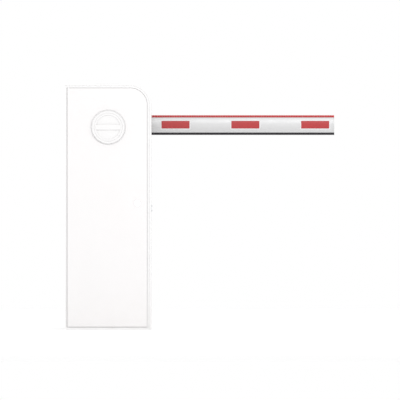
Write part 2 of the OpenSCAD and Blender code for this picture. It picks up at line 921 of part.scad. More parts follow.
// A channel that cradles the boom: back plate and two lips.
holder_x0 = -80;
holder_x1 = 92;
holder_half = 58;
lip_gap = 0.3;
lip_t = 5;
holder_depth = 48;
module boom_holder() {
    lip0 = boom_h / 2 + lip_gap;
    color(frame_grey) difference() {
        union() {
            block([holder_x0, holder_y, boom_z - holder_half],
                  [holder_x1, holder_y + holder_t, boom_z + holder_half]);
            for (side = [0, 1]) translate([0, 0, boom_z]) mirror([0, 0, side])
                block([holder_x0, holder_y, lip0], [holder_x1, holder_y + holder_depth, lip0 + lip_t]);
        }
        for (p = screw_at) translate(p) {
            bar_y(screw_r, holder_y - cut, holder_y + holder_t);
            countersink();
        }
    }
}

clamp_y = boom_y + boom_seat;
clamp_t = 5;
module boom_clamp() {
    inset = 4;
    hole_r = stud_r + 0.2;
    color(frame_grey) difference() {
        block([holder_x0 + inset, clamp_y, boom_z - holder_half],
              [holder_x1 - inset, clamp_y + clamp_t, boom_z + holder_half]);
        for (x = stud_x, z = stud_z)
            bar_y(hole_r, clamp_y - cut, clamp_y + clamp_t + cut, x, boom_z + z);
    }
}

module holder_bolts() {
    nut_y = clamp_y + clamp_t;
    nut_h = 8;
    nut_flats = 16;
    stud_out = 3;
    key_flats = 5;
    key_d = 3;
    rear = holder_y + holder_t;
    color(steel) {
        for (x = stud_x, z = stud_z) {
            bar_y(stud_r, rear, nut_y + nut_h + stud_out, x, boom_z + z);
            hex_y(nut_flats, nut_y, nut_y + nut_h, x, boom_z + z);
        }
        for (p = screw_at) translate(p) difference() {
            union() {
                bar_y(screw_r, screw_y, rear - cut);
                countersink();
            }
            hex_y(key_flats, rear - key_d, rear + cut, 0, 0);
        }
    }
}

// The boom's section: two convex sides, a flat top and bottom.
side_r = 66;
module boom_section(inset, half_height) {
    intersection() {
        translate([boom_t / 2 - side_r, 0]) circle(side_r - inset);
        translate([side_r - boom_t / 2, 0]) circle(side_r - inset);
        square([boom_t, 2 * half_height], center = true);
    }
}

// A section drawn in Y and Z, made solid from x0 to x1, at the boom's axis.
module along_boom(x0, x1) {
    translate([x0, boom_y, boom_z]) rotate([90, 0, 90]) linear_extrude(height = x1 - x0) children();
}

module slot2d(clear = 0) {
    translate([-slot_mouth / 2 + clear, boom_h / 2 - slot_depth])
        square([slot_mouth - 2 * clear, slot_depth + cut]);
    translate([-slot_inner / 2 + clear, boom_h / 2 - slot_depth + clear])
        square([slot_inner - 2 * clear, slot_depth - slot_lip - 2 * clear]);
}

module slot_foot() {
    clear = 0.25;
    rise = 0.5;
    intersection() {
        slot2d(clear);
        translate([-slot_inner, 0]) square([2 * slot_inner, boom_h / 2 + rise]);
    }
}

tube_t = 2;                    // wall of the boom's profile
module boom_tube() {
    color(boom_white) along_boom(-boom_tail, boom_reach - cap_t) difference() {
        boom_section(0, boom_h / 2);
        boom_section(tube_t, boom_h / 2 - slot_depth - tube_t);
        slot2d();
        mirror([0, 1]) slot2d();
    }
}

module boom_end_caps() {
    plug = 12;
    inset = tube_t + 0.2;
    color(boom_white) {
        for (x = [-boom_tail - cap_t, boom_reach - cap_t])
            along_boom(x, x + cap_t) boom_section(0, boom_h / 2);
        for (x = [-boom_tail, boom_reach - cap_t - plug])
            along_boom(x, x + plug) boom_section(inset, boom_h / 2 - slot_depth - inset);
    }
}

// The light strip: a foot in the boom's upper slot and a diffuser above it.
module led_strip() {
    strip_w = 14;
    crown_w = 11;
    crown_h = 2;
    color(signal_red) union() {
        along_boom(strip_start, boom_reach - cap_t) slot_foot();
        along_boom(strip_start, boom_reach) {
            translate([-strip_w / 2, boom_h / 2]) square([strip_w, strip_h - crown_h]);
            translate([-crown_w / 2, boom_h / 2]) square([crown_w, strip_h]);
        }
    }
}

// The rubber edge: a foot in the lower slot and a hollow bulb below it.
module boom_bumper() {
    low = boom_h / 2 + bumper_h;
    bulb_w = 18;
    tip_w = 12;
    tip_h = 3;
    hollow_w = 8;
    wall = 2;
    color(rubber_black) union() {
        along_boom(strip_start, boom_reach - cap_t) mirror([0, 1]) slot_foot();
        along_boom(strip_start, boom_reach) difference() {
            union() {
                translate([-bulb_w / 2, tip_h - low]) square([bulb_w, bumper_h - tip_h]);
                translate([-tip_w / 2, -low]) square([tip_w, bumper_h]);
            }
            translate([-hollow_w / 2, tip_h - low]) square([hollow_w, bumper_h - tip_h - wall]);
        }
    }
}

reflector_end = 9;             // bare length left beyond the last reflector
reflector_count =
    floor((boom_reach - reflector_end - reflector_first - reflector_w / 2) / reflector_pitch) + 1;
reflector_z = 1.3;             // the red blocks sit a little above the boom's axis
border = 4;
border_t = 0.8;
red_t = 0.7;

// A patch that follows both convex sides of the boom.
module patches(length, height, inner, thickness) {
    for (i = [0:reflector_count - 1]) {
        x = reflector_first + i * reflector_pitch;
        along_boom(x - length / 2, x + length / 2) for (side = [0, 1]) mirror([side, 0])
            intersection() {
                translate([side_r - boom_t / 2, 0]) difference() {
                    circle(side_r + inner + thickness);
                    circle(side_r + inner);
                }
                translate([-boom_t, reflector_z - height / 2]) square([boom_t, height]);
            }
    }
}

module reflector_borders() {
    color(boom_white) patches(reflector_w + 2 * border, reflector_h + 2 * border, 0, border_t);
}

module reflectors_red() {
    color(signal_red) patches(reflector_w, reflector_h, border_t, red_t);
}

// ---------- crank, worm gear and link ----------

crank_hub_y = lever_y - 3;     // front face of the crank's hub
module output_shaft() {
    color(steel) bar_y(out_r, crank_hub_y - 1, plate_y - 1, 0, gear_z);
}

module drive_crank() {
    boss_r = 26;
    hub_r = 24;
    hub_back = lever_y + lever_t + 12;
    color(cast_grey) difference() {
        union() {
            slab(lever_y, lever_y + lever_t) translate([0, gear_z])
                lever2d(crank_len, boss_r, eye_r, lever_half, rest_angle);
            bar_y(hub_r, crank_hub_y, hub_back, 0, gear_z);
            link_pin(gear_z);
        }
        bar_y(out_r, crank_hub_y - cut, hub_back + cut, 0, gear_z);
    }
}

tooth_root = 2.7;              // half widths of a tooth and of the thread, at the root and the tip
tooth_tip = 0.7;
tooth_depth = 1.25 * module_mm;

// The corners of one straight-sided tooth, as wide at the pitch circle as the clearance allows.
function wheel_tooth(angle) =
    let (root = wheel_pitch_r - tooth_depth, tip = wheel_pitch_r + module_mm)
    [for (p = [[root, -tooth_root], [tip, -tooth_tip], [tip, tooth_tip], [root, tooth_root]])
        [p.x * cos(angle) - p.y * sin(angle), p.x * sin(angle) + p.y * cos(angle)]];

module worm_wheel() {
    half_width = 7;
    color([0.72, 0.55, 0.30]) difference() {
        slab(worm_y - half_width, worm_y + half_width) translate([0, gear_z])
            polygon([for (i = [0:wheel_teeth - 1]) each wheel_tooth(360 * i / wheel_teeth)]);
        bar_y(out_r, worm_y - half_width - cut, worm_y + half_width + cut, 0, gear_z);
    }
}

// Radius of the worm at a phase from 0 to 1 round one thread, with straight flanks.
function worm_radius(phase) =
    let (root = worm_pitch_r - tooth_depth, tip = worm_pitch_r + module_mm,
         flank = (min(phase, 1 - phase) * worm_lead - tooth_tip) / (tooth_root - tooth_tip))
    tip + (root - tip) * min(max(flank, 0), 1);

// A right-handed worm. At rest its thread stands in the gap between two teeth of the wheel.
module worm_thread(length, steps_round = 16, steps_lead = 8) {
    rings = ceil(length / worm_lead * steps_lead);
    points = [
        for (k = [0:rings], j = [0:steps_round - 1])
            let (z = k * worm_lead / steps_lead - length / 2, a = 360 * j / steps_round,
                 turns = (z - worm_lead / 2) / worm_lead - a / 360,
                 r = worm_radius(turns - floor(turns)))
            [r * cos(a), r * sin(a), z]
    ];
    walls = [
        for (k = [0:rings - 1], j = [0:steps_round - 1])
            let (a = k * steps_round + j, b = k * steps_round + (j + 1) % steps_round)
            for (f = [[b, a, b + steps_round], [b + steps_round, a, a + steps_round]]) f
    ];
    foot = [for (j = [0:steps_round - 1]) j];
    head = [for (j = [steps_round - 1:-1:0]) rings * steps_round + j];
    polyhedron(points, concat(walls, [foot, head]));
}

// The worm's shaft goes on down into the motor, as its rotor, and up to the handwheel.
worm_top = case_z1 + 40;
module worm_shaft() {
    turns = 4;
    low = motor_low - 2;
    rotor_r = 26;
    rotor_low = motor_low + 10;
    rotor_high = motor_top - 14;
    color(steel) translate([worm_x, worm_y, 0]) union() {
        translate([0, 0, gear_z]) worm_thread(turns * worm_lead);
        translate([0, 0, low]) cylinder(r = worm_shaft_r, h = worm_top - low);
        translate([0, 0, rotor_low]) cylinder(r = rotor_r, h = rotor_high - rotor_low);
    }
}

module handwheel() {
    hub_r = 12;
    hub_h = 14;
    wheel_r = 30;
    wheel_h = 9;
    hole_r = 5.5;
    hole_circle = 20;
    knob_r = 4;
    knob_h = 16;
    knob_x = 24;
    color(rubber_black) translate([worm_x, worm_y, worm_top - hub_h]) difference() {
        union() {
            cylinder(r = hub_r, h = hub_h);
            difference() {
                cylinder(r = wheel_r, h = wheel_h);
                for (a = [0:60:300]) rotate(a) translate([hole_circle, 0, -cut])
                    cylinder(r = hole_r, h = wheel_h + 2 * cut);
            }
            translate([knob_x, 0, wheel_h - cut]) cylinder(r = knob_r, h = knob_h);
        }
        translate([0, 0, -cut]) cylinder(r = worm_shaft_r, h = hub_h + 2 * cut);
    }
}

link_z0 = gear_z + crank_len * sin(rest_angle);
link_z1 = link_z0 + link_len;
link_rod_r = 6;
link_rod_end = 63;             // the rods end this far from the pins, inside the tube
link_tube_in = 44;             // the tube starts this far from the pins

module link_tube() {
    tube_r = 9;
    bore_low = link_tube_in - cut;
    bore_high = link_rod_end + cut;
    color(zinc) translate([link_x, link_y + link_t / 2, 0]) difference() {
        translate([0, 0, link_z0 + link_tube_in]) cylinder(r = tube_r, h = link_len - 2 * link_tube_in);
        for (z = [link_z0 + bore_low, link_z1 - bore_high])
            translate([0, 0, z]) cylinder(r = link_rod_r, h = bore_high - bore_low);
    }
}

// Each eye has a threaded rod that stands in the tube, and a lock nut against the tube's end.
module link_rod_ends() {
    clear = 0.05;
    nut_flats = 19;
    nut_h = 8;
    rod_low = 12;
    color(steel) for (end = [0, 1]) translate([link_x, link_y, end ? link_z1 : link_z0])
        mirror([0, 0, end]) difference() {
            union() {
                bar_y(eye_r, 0, link_t);
                translate([0, link_t / 2, rod_low]) cylinder(r = link_rod_r, h = link_rod_end - rod_low);
                hex_z(nut_flats, link_tube_in - nut_h, link_tube_in, 0, link_t / 2);
            }
            bar_y(pin_r + clear, -cut, link_t + cut);
        }
}

// ---------- balance spring ----------

spring_tilt = atan((spring_len + anchor_x) / (shaft_z - anchor_z));
spring_span = norm([spring_len + anchor_x, shaft_z - anchor_z]);
wire_r = 3;
hook_clear = 0.6;
hook_r = [anchor_pin_r + wire_r + hook_clear, spring_pin_r + wire_r + hook_clear];
coil_r = 18;
coil_end = 44;

// The outer shape of the close-wound coil, with a loop at each end.
module balance_spring() {
    coil_h = spring_span - 2 * coil_end;
    bore_r = coil_r - 2 * wire_r;
    bar_z = coil_end + wire_r;
    color([0.12, 0.12, 0.13]) translate([anchor_x, spring_plane_y, anchor_z]) rotate([0, -spring_tilt, 0]) {
        difference() {
            translate([0, 0, coil_end]) cylinder(r = coil_r, h = coil_h);
            translate([0, 0, coil_end - cut]) cylinder(r = bore_r, h = coil_h + 2 * cut);
        }
        for (end = [0, 1]) translate([0, 0, end * spring_span]) mirror([0, 0, end]) {
            rotate([90, 0, 0]) rotate_extrude() translate([hook_r[end], 0]) circle(wire_r);
            translate([0, 0, hook_r[end]]) cylinder(r = wire_r, h = bar_z - hook_r[end]);
            translate([-bore_r - wire_r, 0, bar_z]) rotate([0, 90, 0])
                cylinder(r = wire_r - 0.1, h = 2 * (bore_r + wire_r));
        }
    }
}

// ---------- door and lock ----------

barrel_r = 9;
plug_r = 6.5;

// The outline of the hat section that stiffens the door, set in by a wall.
module stiffener(inset) {
    half = 20 - inset;
    low = 80 + inset;
    high = 700 - inset;
    translate([-half, low]) square([2 * half, high - low]);
}

module door_panel() {
    fold_d = 6;
    fold_t = 1.5;
    hat_d = 9;
    block_h = 16;
    block_back = 4;
    pivot_clear = 0.05;
    z_low = rim_low + door_gap_low;
    z_high = cab_h - rim - door_gap;
    color(enamel) difference() {
        union() {
            slab(front_y, front_y + sheet) door_outline();
            slab(front_y, front_y + fold_d) difference() {
                door_outline();
                door_outline(fold_t);
            }
            for (z = [z_low, z_high - block_h])
                block([pivot_x - hinge_in, front_y, z],
                      [pivot_x + 2 * hinge_in, pivot_y + block_back, z + block_h]);
            slab(front_y + sheet / 2, front_y + hat_d) stiffener(0);
        }
        slab(front_y + sheet, front_y + hat_d - fold_t) stiffener(fold_t);
        bar_y(hub_hole_r, front_y - cut, front_y + sheet + cut, 0, shaft_z);
        bar_y(barrel_r, front_y - cut, front_y + sheet + cut, lock_x, lock_z);
        for (z = [z_low - cut, z_high - block_h - cut])
            translate([pivot_x, pivot_y, z]) cylinder(r = pivot_r + pivot_clear, h = block_h + 2 * cut);
    }
}

// The foam seal on the back of the door closes on the frame's lip.
module door_gasket() {
    outer = 11.5;
    inner = 18.5;
    gap = 0.3;
    color(rubber_black) slab(front_y + sheet, lip_y - gap) difference() {
        door_outline(outer);
        door_outline(inner);
    }
}

tail_r = 4;                    // the plug's rear end, which carries the cam
cam_y = frame_back_y + 1.4;    // front face of the cam
cam_t = 3;

module lock_body() {
    rim_r = 12;
    rim_t = 2.5;
    nut_flats = 22;
    nut_h = 5;
    running = 0.05;
    color(steel) difference() {
        union() {
            bar_y(barrel_r, front_y - cut, frame_back_y + 1, lock_x, lock_z);
            bar_y(rim_r, front_y - rim_t, front_y, lock_x, lock_z);
            hex_y(nut_flats, front_y + sheet, front_y + sheet + nut_h, lock_x, lock_z);
        }
        bar_y(plug_r + running, front_y - rim_t - cut, frame_back_y + 2, lock_x, lock_z);
    }
}

module lock_plug() {
    face_y = front_y - 3;
    key_w = 1.6;
    key_h = 8;
    key_d = 9;
    tail_y = cam_y + cam_t + 2.6;
    color(zinc) difference() {
        union() {
            bar_y(plug_r, face_y, cam_y, lock_x, lock_z);
            bar_y(tail_r, cam_y - cut, tail_y, lock_x, lock_z);
        }
        translate([lock_x, 0, lock_z])
            block([-key_w / 2, face_y - cut, -key_h / 2], [key_w / 2, face_y + key_d, key_h / 2]);
    }
}

// The cam points up when unlocked, and behind the frame's lip when locked.
module lock_cam() {
    hub_r = 9;
    arm_w = 14;
    arm_h = 34;
    color(zinc) difference() {
        slab(cam_y, cam_y + cam_t) translate([lock_x, lock_z]) union() {
            circle(hub_r);
            translate([-arm_w / 2, 0]) square([arm_w, arm_h]);
        }
        bar_y(tail_r, cam_y - cut, cam_y + cam_t + cut, lock_x, lock_z);
    }
}

base_plate();
corner_posts();
casing_shell();
front_frame();
rear_panel();
casing_screws();
roof_plate();
door_pivot_pins();
strike_plate();
bearing_beam();
bearing_housings();
bearing_inserts();
mount_plate();
frame_bolts();
stop_posts();
stop_buffers();
gearbox_housing();
gearbox_cover();
gearbox_bolts();
gear_bearings();
motor_housing();
motor_end_bell();
spring_beam();
spring_anchor();
control_box();
control_box_lid();
din_rail();
circuit_breaker();
terminal_blocks();
motor_cable();
cable_glands();
breaker_toggle();
main_shaft();
hub_cap();
hub_flange();
drive_lever();
spring_lever();
boom_flange();
boom_holder();
boom_clamp();
holder_bolts();
boom_tube();
boom_end_caps();
led_strip();
boom_bumper();
reflector_borders();
reflectors_red();
output_shaft();
drive_crank();
worm_wheel();
link_tube();
link_rod_ends();
worm_shaft();
handwheel();
balance_spring();
door_panel();
door_gasket();
lock_body();
lock_plug();
lock_cam();
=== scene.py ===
"""A parking barrier gate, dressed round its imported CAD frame. Metres, +X along the boom, +Z up."""
import json
import math
import random

import bmesh
import bpy
from mathutils import Matrix, Vector


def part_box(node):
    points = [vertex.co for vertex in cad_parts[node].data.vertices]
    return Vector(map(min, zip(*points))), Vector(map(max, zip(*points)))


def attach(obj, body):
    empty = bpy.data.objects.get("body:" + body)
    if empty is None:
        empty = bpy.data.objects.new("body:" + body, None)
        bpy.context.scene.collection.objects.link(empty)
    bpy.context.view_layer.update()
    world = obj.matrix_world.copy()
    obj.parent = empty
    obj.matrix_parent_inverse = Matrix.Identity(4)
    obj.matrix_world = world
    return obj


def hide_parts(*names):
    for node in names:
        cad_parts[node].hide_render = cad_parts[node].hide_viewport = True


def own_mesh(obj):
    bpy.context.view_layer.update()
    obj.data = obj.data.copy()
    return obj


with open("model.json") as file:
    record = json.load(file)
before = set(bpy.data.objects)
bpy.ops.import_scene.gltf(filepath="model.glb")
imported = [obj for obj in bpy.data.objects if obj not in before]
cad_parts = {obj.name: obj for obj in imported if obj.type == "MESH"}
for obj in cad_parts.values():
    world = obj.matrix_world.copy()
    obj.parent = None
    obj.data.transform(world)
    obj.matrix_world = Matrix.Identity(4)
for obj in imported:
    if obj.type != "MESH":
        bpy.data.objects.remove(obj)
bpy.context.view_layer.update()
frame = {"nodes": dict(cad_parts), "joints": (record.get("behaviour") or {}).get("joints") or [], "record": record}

NODES = frame["nodes"]
SLOT_OF = {part["node"]: part["material_slot"] for part in frame["record"]["subparts"]}
JOINT_AT = {joint["name"]: Vector(joint["pos_m"]) for joint in frame["joints"]}
RNG = random.Random(7)

# ---------- materials ----------

COLOR_A, COLOR_B, COLOR_OUT = 6, 7, 2      # the colour sockets of a mix node


class Tree:
    """A short way to write a shader node tree."""

    def __init__(self, material):
        material.use_nodes = True
        self.tree = material.node_tree
        self.tree.nodes.clear()

    def add(self, kind, **settings):
        node = self.tree.nodes.new(kind)
        for key, value in settings.items():
            setattr(node, key, value)
        return node

    def link(self, source, target):
        self.tree.links.new(source, target)

    def coords(self, scale=(1.0, 1.0, 1.0)):
        place = self.add("ShaderNodeTexCoord")
        mapping = self.add("ShaderNodeMapping")
        mapping.inputs["Scale"].default_value = scale
        self.link(place.outputs["Object"], mapping.inputs["Vector"])
        return mapping.outputs["Vector"]

    def noise(self, scale, detail=3.0, rough=0.5, stretch=(1.0, 1.0, 1.0)):
        node = self.add("ShaderNodeTexNoise")
        node.inputs["Scale"].default_value = scale
        node.inputs["Detail"].default_value = detail
        node.inputs["Roughness"].default_value = rough
        self.link(self.coords(stretch), node.inputs["Vector"])
        return node.outputs["Fac"]

    def remap(self, value, low, high, from_low=0.3, from_high=0.7):
        node = self.add("ShaderNodeMapRange")
        node.inputs["From Min"].default_value = from_low
        node.inputs["From Max"].default_value = from_high
        node.inputs["To Min"].default_value = low
        node.inputs["To Max"].default_value = high
        self.link(value, node.inputs["Value"])
        return node.outputs["Result"]

    def mix(self, factor, first, second, blend="MIX"):
        node = self.add("ShaderNodeMix", data_type="RGBA", blend_type=blend)
        sockets = (node.inputs["Factor"], node.inputs[COLOR_A], node.inputs[COLOR_B])
        for socket, value in zip(sockets, (factor, first, second)):
            if isinstance(value, (float, int)):
                socket.default_value = value
            elif isinstance(value, (tuple, list)):
                socket.default_value = (*value[:3], 1.0)
            else:
                self.link(value, socket)
        return node.outputs[COLOR_OUT]

    def math(self, operation, first, second=0.0):
        node = self.add("ShaderNodeMath", operation=operation)
        for socket, value in zip(node.inputs, (first, second)):
            if isinstance(value, (float, int)):
                socket.default_value = value
            else:
                self.link(value, socket)
        return node.outputs[0]

    def height(self):
        """Height above the floor, in metres."""
        split = self.add("ShaderNodeSeparateXYZ")
        self.link(self.coords(), split.inputs[0])
        return split.outputs["Z"]


def shade(color, factor):
    return tuple(min(1.0, part * factor) for part in color)


GRIME_COLOR = (0.50, 0.46, 0.40)
GRIME_TOP = 0.22               # splashed dirt reaches this high above the floor
WORN_SHADE = 0.55              # how dark a scuff is, where a finish names no colour for it
WORN_ROUGHER = 0.2
COAT_ROUGH = 0.15


def grime_amount(t, strength):
    """Patchy dirt that thins out from the floor up."""
    low = t.remap(t.height(), 1.0, 0.0, 0.0, GRIME_TOP)
    patchy = t.remap(t.noise(26.0, 6.0, 0.65), 0.2, 1.0)
    return t.math("MULTIPLY", t.math("MULTIPLY", low, patchy), strength)


def scuff_amount(t, strength):
    """Sparse streaks where the surface is worn."""
    streaks = t.noise(60.0, 8.0, 0.7, (1.0, 1.0, 0.12))
    return t.remap(streaks, 0.0, strength, 0.62, 0.72)


def grain_bump(t, strength, depth, scale, stretch):
    bump = t.add("ShaderNodeBump")
    bump.inputs["Strength"].default_value = strength
    bump.inputs["Distance"].default_value = depth
    t.link(t.noise(scale, 2.0, 0.5, stretch), bump.inputs["Height"])
    return bump.outputs[0]


def surface(name, color, rough, metal=0.0, coat=0.0, blotch=0.02, blotch_scale=5.0, rough_swing=0.05,
            grain_scale=1200.0, grain=0.08, grain_depth=0.0002, stretch=(1.0, 1.0, 1.0), grime=0.0,
            scuffs=0.0, scuff_color=None, glow=None, specular=0.5):
    """A finished surface: slow colour variation, uneven roughness, fine grain, and wear."""
    material = bpy.data.materials.new(name)
    t = Tree(material)
    shader = t.add("ShaderNodeBsdfPrincipled")
    out = t.add("ShaderNodeOutputMaterial")
    t.link(shader.outputs[0], out.inputs["Surface"])
    clouds = t.remap(t.noise(blotch_scale, 4.0), 0.0, 1.0)
    paint = t.mix(clouds, shade(color, 1.0 - blotch), shade(color, 1.0 + blotch))
    if grime:
        paint = t.mix(grime_amount(t, grime), paint, GRIME_COLOR)
    finer = t.noise(blotch_scale * 5.0, 5.0)
    roughness = t.remap(finer, rough - rough_swing, rough + rough_swing)
    if scuffs:
        amount = scuff_amount(t, scuffs)
        paint = t.mix(amount, paint, scuff_color or shade(color, WORN_SHADE))
        roughness = t.math("ADD", roughness, t.math("MULTIPLY", amount, WORN_ROUGHER))
    t.link(paint, shader.inputs["Base Color"])
    t.link(roughness, shader.inputs["Roughness"])
    t.link(grain_bump(t, grain, grain_depth, grain_scale, stretch), shader.inputs["Normal"])
    shader.inputs["Metallic"].default_value = metal
    shader.inputs["Coat Weight"].default_value = coat
    shader.inputs["Coat Roughness"].default_value = COAT_ROUGH
    shader.inputs["Specular IOR Level"].default_value = specular
    if glow:
        glow_color, glow_strength = glow
        shader.inputs["Emission Color"].default_value = (*glow_color, 1.0)
        shader.inputs["Emission Strength"].default_value = glow_strength
    return material


# One finish for each material slot of the record.
MATERIALS = {
    "enamel": surface("enamel", (0.760, 0.747, 0.747), 0.42, blotch=0.006, grain_scale=900.0, grain=0.10,
                      grime=0.10, scuffs=0.015),
    "frame_grey": surface("frame_grey", (0.760, 0.755, 0.755), 0.40, blotch=0.008, grain_scale=900.0,
                          grain=0.10, grime=0.12, scuffs=0.03),
    "cap_grey": surface("cap_grey", (0.750, 0.743, 0.743), 0.38, blotch=0.01, grain_scale=1400.0, grain=0.06,
                        scuffs=0.02),
    "holder_paint": surface("holder_paint", (0.74, 0.74, 0.75), 0.42, blotch=0.012, grain=0.12,
                            scuffs=0.05),
    "zinc": surface("zinc", (0.68, 0.69, 0.71), 0.36, metal=0.9, blotch=0.07, blotch_scale=40.0,
                    grain_scale=500.0, grain=0.08, scuffs=0.08),
    "steel": surface("steel", (0.70, 0.71, 0.72), 0.26, metal=1.0, blotch=0.04, grain_scale=900.0,
                     grain=0.12, stretch=(1.0, 14.0, 1.0)),
    "chrome": surface("chrome", (0.93, 0.93, 0.935), 0.20, metal=1.0, blotch=0.02, blotch_scale=60.0,
                      grain=0.05, rough_swing=0.04, scuffs=0.06, scuff_color=(0.70, 0.70, 0.71)),
    "bolt_zinc": surface("bolt_zinc", (0.66, 0.66, 0.67), 0.30, metal=0.95, blotch=0.06,
                         blotch_scale=60.0, grain=0.08),
    "cast_grey": surface("cast_grey", (0.30, 0.34, 0.38), 0.50, blotch=0.05, blotch_scale=14.0,
                         grain_scale=260.0, grain=0.35, grain_depth=0.0004, scuffs=0.10,
                         scuff_color=(0.48, 0.48, 0.48)),
    "bronze": surface("bronze", (0.62, 0.42, 0.20), 0.28, metal=1.0, blotch=0.08, blotch_scale=30.0,
                      grain=0.1),
    "spring_black": surface("spring_black", (0.06, 0.06, 0.065), 0.38, metal=0.5, blotch=0.1,
                            blotch_scale=30.0, grain_scale=700.0, grain=0.12, specular=0.6),
    "rubber_black": surface("rubber_black", (0.024, 0.022, 0.026), 0.66, specular=0.22, blotch=0.10,
                            blotch_scale=20.0, grain_scale=1600.0, grain=0.25, scuffs=0.10,
                            scuff_color=(0.09, 0.09, 0.09)),
    "plastic_black": surface("plastic_black", (0.045, 0.045, 0.048), 0.45, blotch=0.05, grain=0.2,
                             grain_scale=1800.0),
    "plastic_grey": surface("plastic_grey", (0.72, 0.73, 0.73), 0.46, blotch=0.02, grain=0.15,
                            grain_scale=1800.0),
    "plastic_dark": surface("plastic_dark", (0.16, 0.175, 0.19), 0.48, blotch=0.03, grain=0.2,
                            grain_scale=1500.0),
    "terminal_grey": surface("terminal_grey", (0.33, 0.38, 0.41), 0.45, blotch=0.03, grain=0.15),
    "boom_coat": surface("boom_coat", (0.555, 0.555, 0.558), 0.36, metal=0.35, blotch=0.015, grain=0.07,
                         grain_scale=700.0, stretch=(0.08, 1.0, 1.0), scuffs=0.06),
    "led_red": surface("led_red", (0.48, 0.036, 0.038), 0.40, specular=0.3, blotch=0.06, blotch_scale=40.0,
                       grain=0.05),
    "reflector_red": surface("reflector_red", (0.370, 0.020, 0.022), 0.40, coat=0.05, blotch=0.03,
                             blotch_scale=30.0, grain=0.05, scuffs=0.04, scuff_color=(0.62, 0.22, 0.20)),
    "border_white": surface("border_white", (0.66, 0.66, 0.665), 0.40, coat=0.05, blotch=0.02, grain=0.05),
}

# Finishes of pieces that differ from their slot's.
EXTRA = {
    "rail_red": surface("rail_red", (0.42, 0.038, 0.042), 0.42, blotch=0.06, blotch_scale=40.0, grain=0.08),
    "display_glass": surface("display_glass", (0.020, 0.030, 0.026), 0.08, coat=0.6, blotch=0.05, grain=0.01,
                             rough_swing=0.02, scuffs=0.05, scuff_color=(0.05, 0.06, 0.06)),
    "display_bars": surface("display_bars", (0.10, 0.55, 0.20), 0.40, blotch=0.05, grain=0.02,
                            glow=((0.10, 0.80, 0.25), 1.2)),
    "wires_blue": surface("wires_blue", (0.045, 0.12, 0.42), 0.42, blotch=0.06, blotch_scale=60.0),
    "wires_brown": surface("wires_brown", (0.20, 0.085, 0.035), 0.42, blotch=0.06, blotch_scale=60.0),
    "wires_grey": surface("wires_grey", (0.34, 0.34, 0.35), 0.42, blotch=0.06, blotch_scale=60.0),
}

# ---------- finishing of CAD nodes ----------

WELD_DISTANCE = 2e-6
FLAT_ANGLE = math.radians(0.5)     # faces that differ by less are one flat face
SHARP_ANGLE = math.radians(38)     # an edge over this is rounded and shaded sharp
USUAL_EDGE = 0.0005
FINE_EDGE = 0.0002                 # rounding on strips, foils and other thin pieces


def new_group(name):
    """An empty modifier tree, with the node that starts it and the one that ends it."""
    group = bpy.data.node_groups.new(name, "GeometryNodeTree")
    for direction in ("INPUT", "OUTPUT"):
        group.interface.new_socket("Geometry", in_out=direction, socket_type="NodeSocketGeometry")
    return group, group.nodes.new("NodeGroupInput"), group.nodes.new("NodeGroupOutput")


def weld_group():
    """A modifier tree: merge the imported corners and forget their stored normals."""
    group, start, end = new_group("weld_corners")
    forget = group.nodes.new("GeometryNodeRemoveAttribute")
    forget.inputs["Name"].default_value = "custom_normal"
    merge = group.nodes.new("GeometryNodeMergeByDistance")
    merge.inputs["Distance"].default_value = WELD_DISTANCE
    group.links.new(start.outputs[0], forget.inputs[0])
    group.links.new(forget.outputs[0], merge.inputs["Geometry"])
    group.links.new(merge.outputs[0], end.inputs[0])
    return group


def by_angle_group(limit):
    """A modifier tree: shade smooth, with edges over the limit left sharp."""
    group, start, end = new_group("smooth_by_angle")
    faces = group.nodes.new("GeometryNodeSetShadeSmooth")
    faces.domain = "FACE"
    angle = group.nodes.new("GeometryNodeInputMeshEdgeAngle")
    test = group.nodes.new("FunctionNodeCompare")
    test.data_type = "FLOAT"
    test.operation = "LESS_THAN"
    test.inputs[1].default_value = limit
    edges = group.nodes.new("GeometryNodeSetShadeSmooth")
    edges.domain = "EDGE"
    group.links.new(start.outputs[0], faces.inputs["Geometry"])
    group.links.new(faces.outputs[0], edges.inputs["Geometry"])
    group.links.new(angle.outputs[0], test.inputs[0])
    group.links.new(test.outputs[0], edges.inputs["Shade Smooth"])
    group.links.new(edges.outputs[0], end.inputs[0])
    return group


WELD = weld_group()
SMOOTH = by_angle_group(SHARP_ANGLE)


def modifier(obj, name, kind, **settings):
    made = obj.modifiers.new(name, kind)
    for key, value in settings.items():
        setattr(made, key, value)
    return made


def soften(obj, width):
    """Rounds an object's sharp edges and shades it by angle."""
    modifier(obj, "weld", "NODES", node_group=WELD)
    modifier(obj, "flat_faces", "DECIMATE", decimate_type="DISSOLVE", angle_limit=FLAT_ANGLE)
    if width:
        modifier(obj, "edges", "BEVEL", width=width, segments=2, limit_method="ANGLE",
                 angle_limit=SHARP_ANGLE, use_clamp_overlap=True)
    modifier(obj, "shading", "NODES", node_group=SMOOTH)
    if width:
        modifier(obj, "normals", "WEIGHTED_NORMAL", keep_sharp=True)


# The rounding on a node's sharp edges, where it isn't the usual one.
EDGE = {
    "front_frame": 0.0012, "door_panel": 0.0009, "hub_cap": 0.0008, "casing_shell": 0.0008,
    "boom_holder": 0.001, "boom_clamp": 0.0003, "boom_tube": 0.0004, "boom_end_caps": 0.0010,
    "gearbox_housing": 0.003, "gearbox_cover": 0.001, "drive_lever": 0.0015, "drive_crank": 0.0015,
    "spring_lever": 0.0015, "bearing_housings": 0.002, "boom_flange": 0.0006, "control_box": 0.0015,
    "control_box_lid": 0.0015, "circuit_breaker": 0.001, "terminal_blocks": 0.0006,
    "worm_shaft": 0.0, "handwheel": 0.0015, "reflectors_red": 0.0, "reflector_borders": 0.0,
    "lock_plug": 0.0003, "lock_cam": 0.0003, "holder_bolts": 0.0003, "spring_beam": 0.0003,
    "base_plate": 0.0003,
}


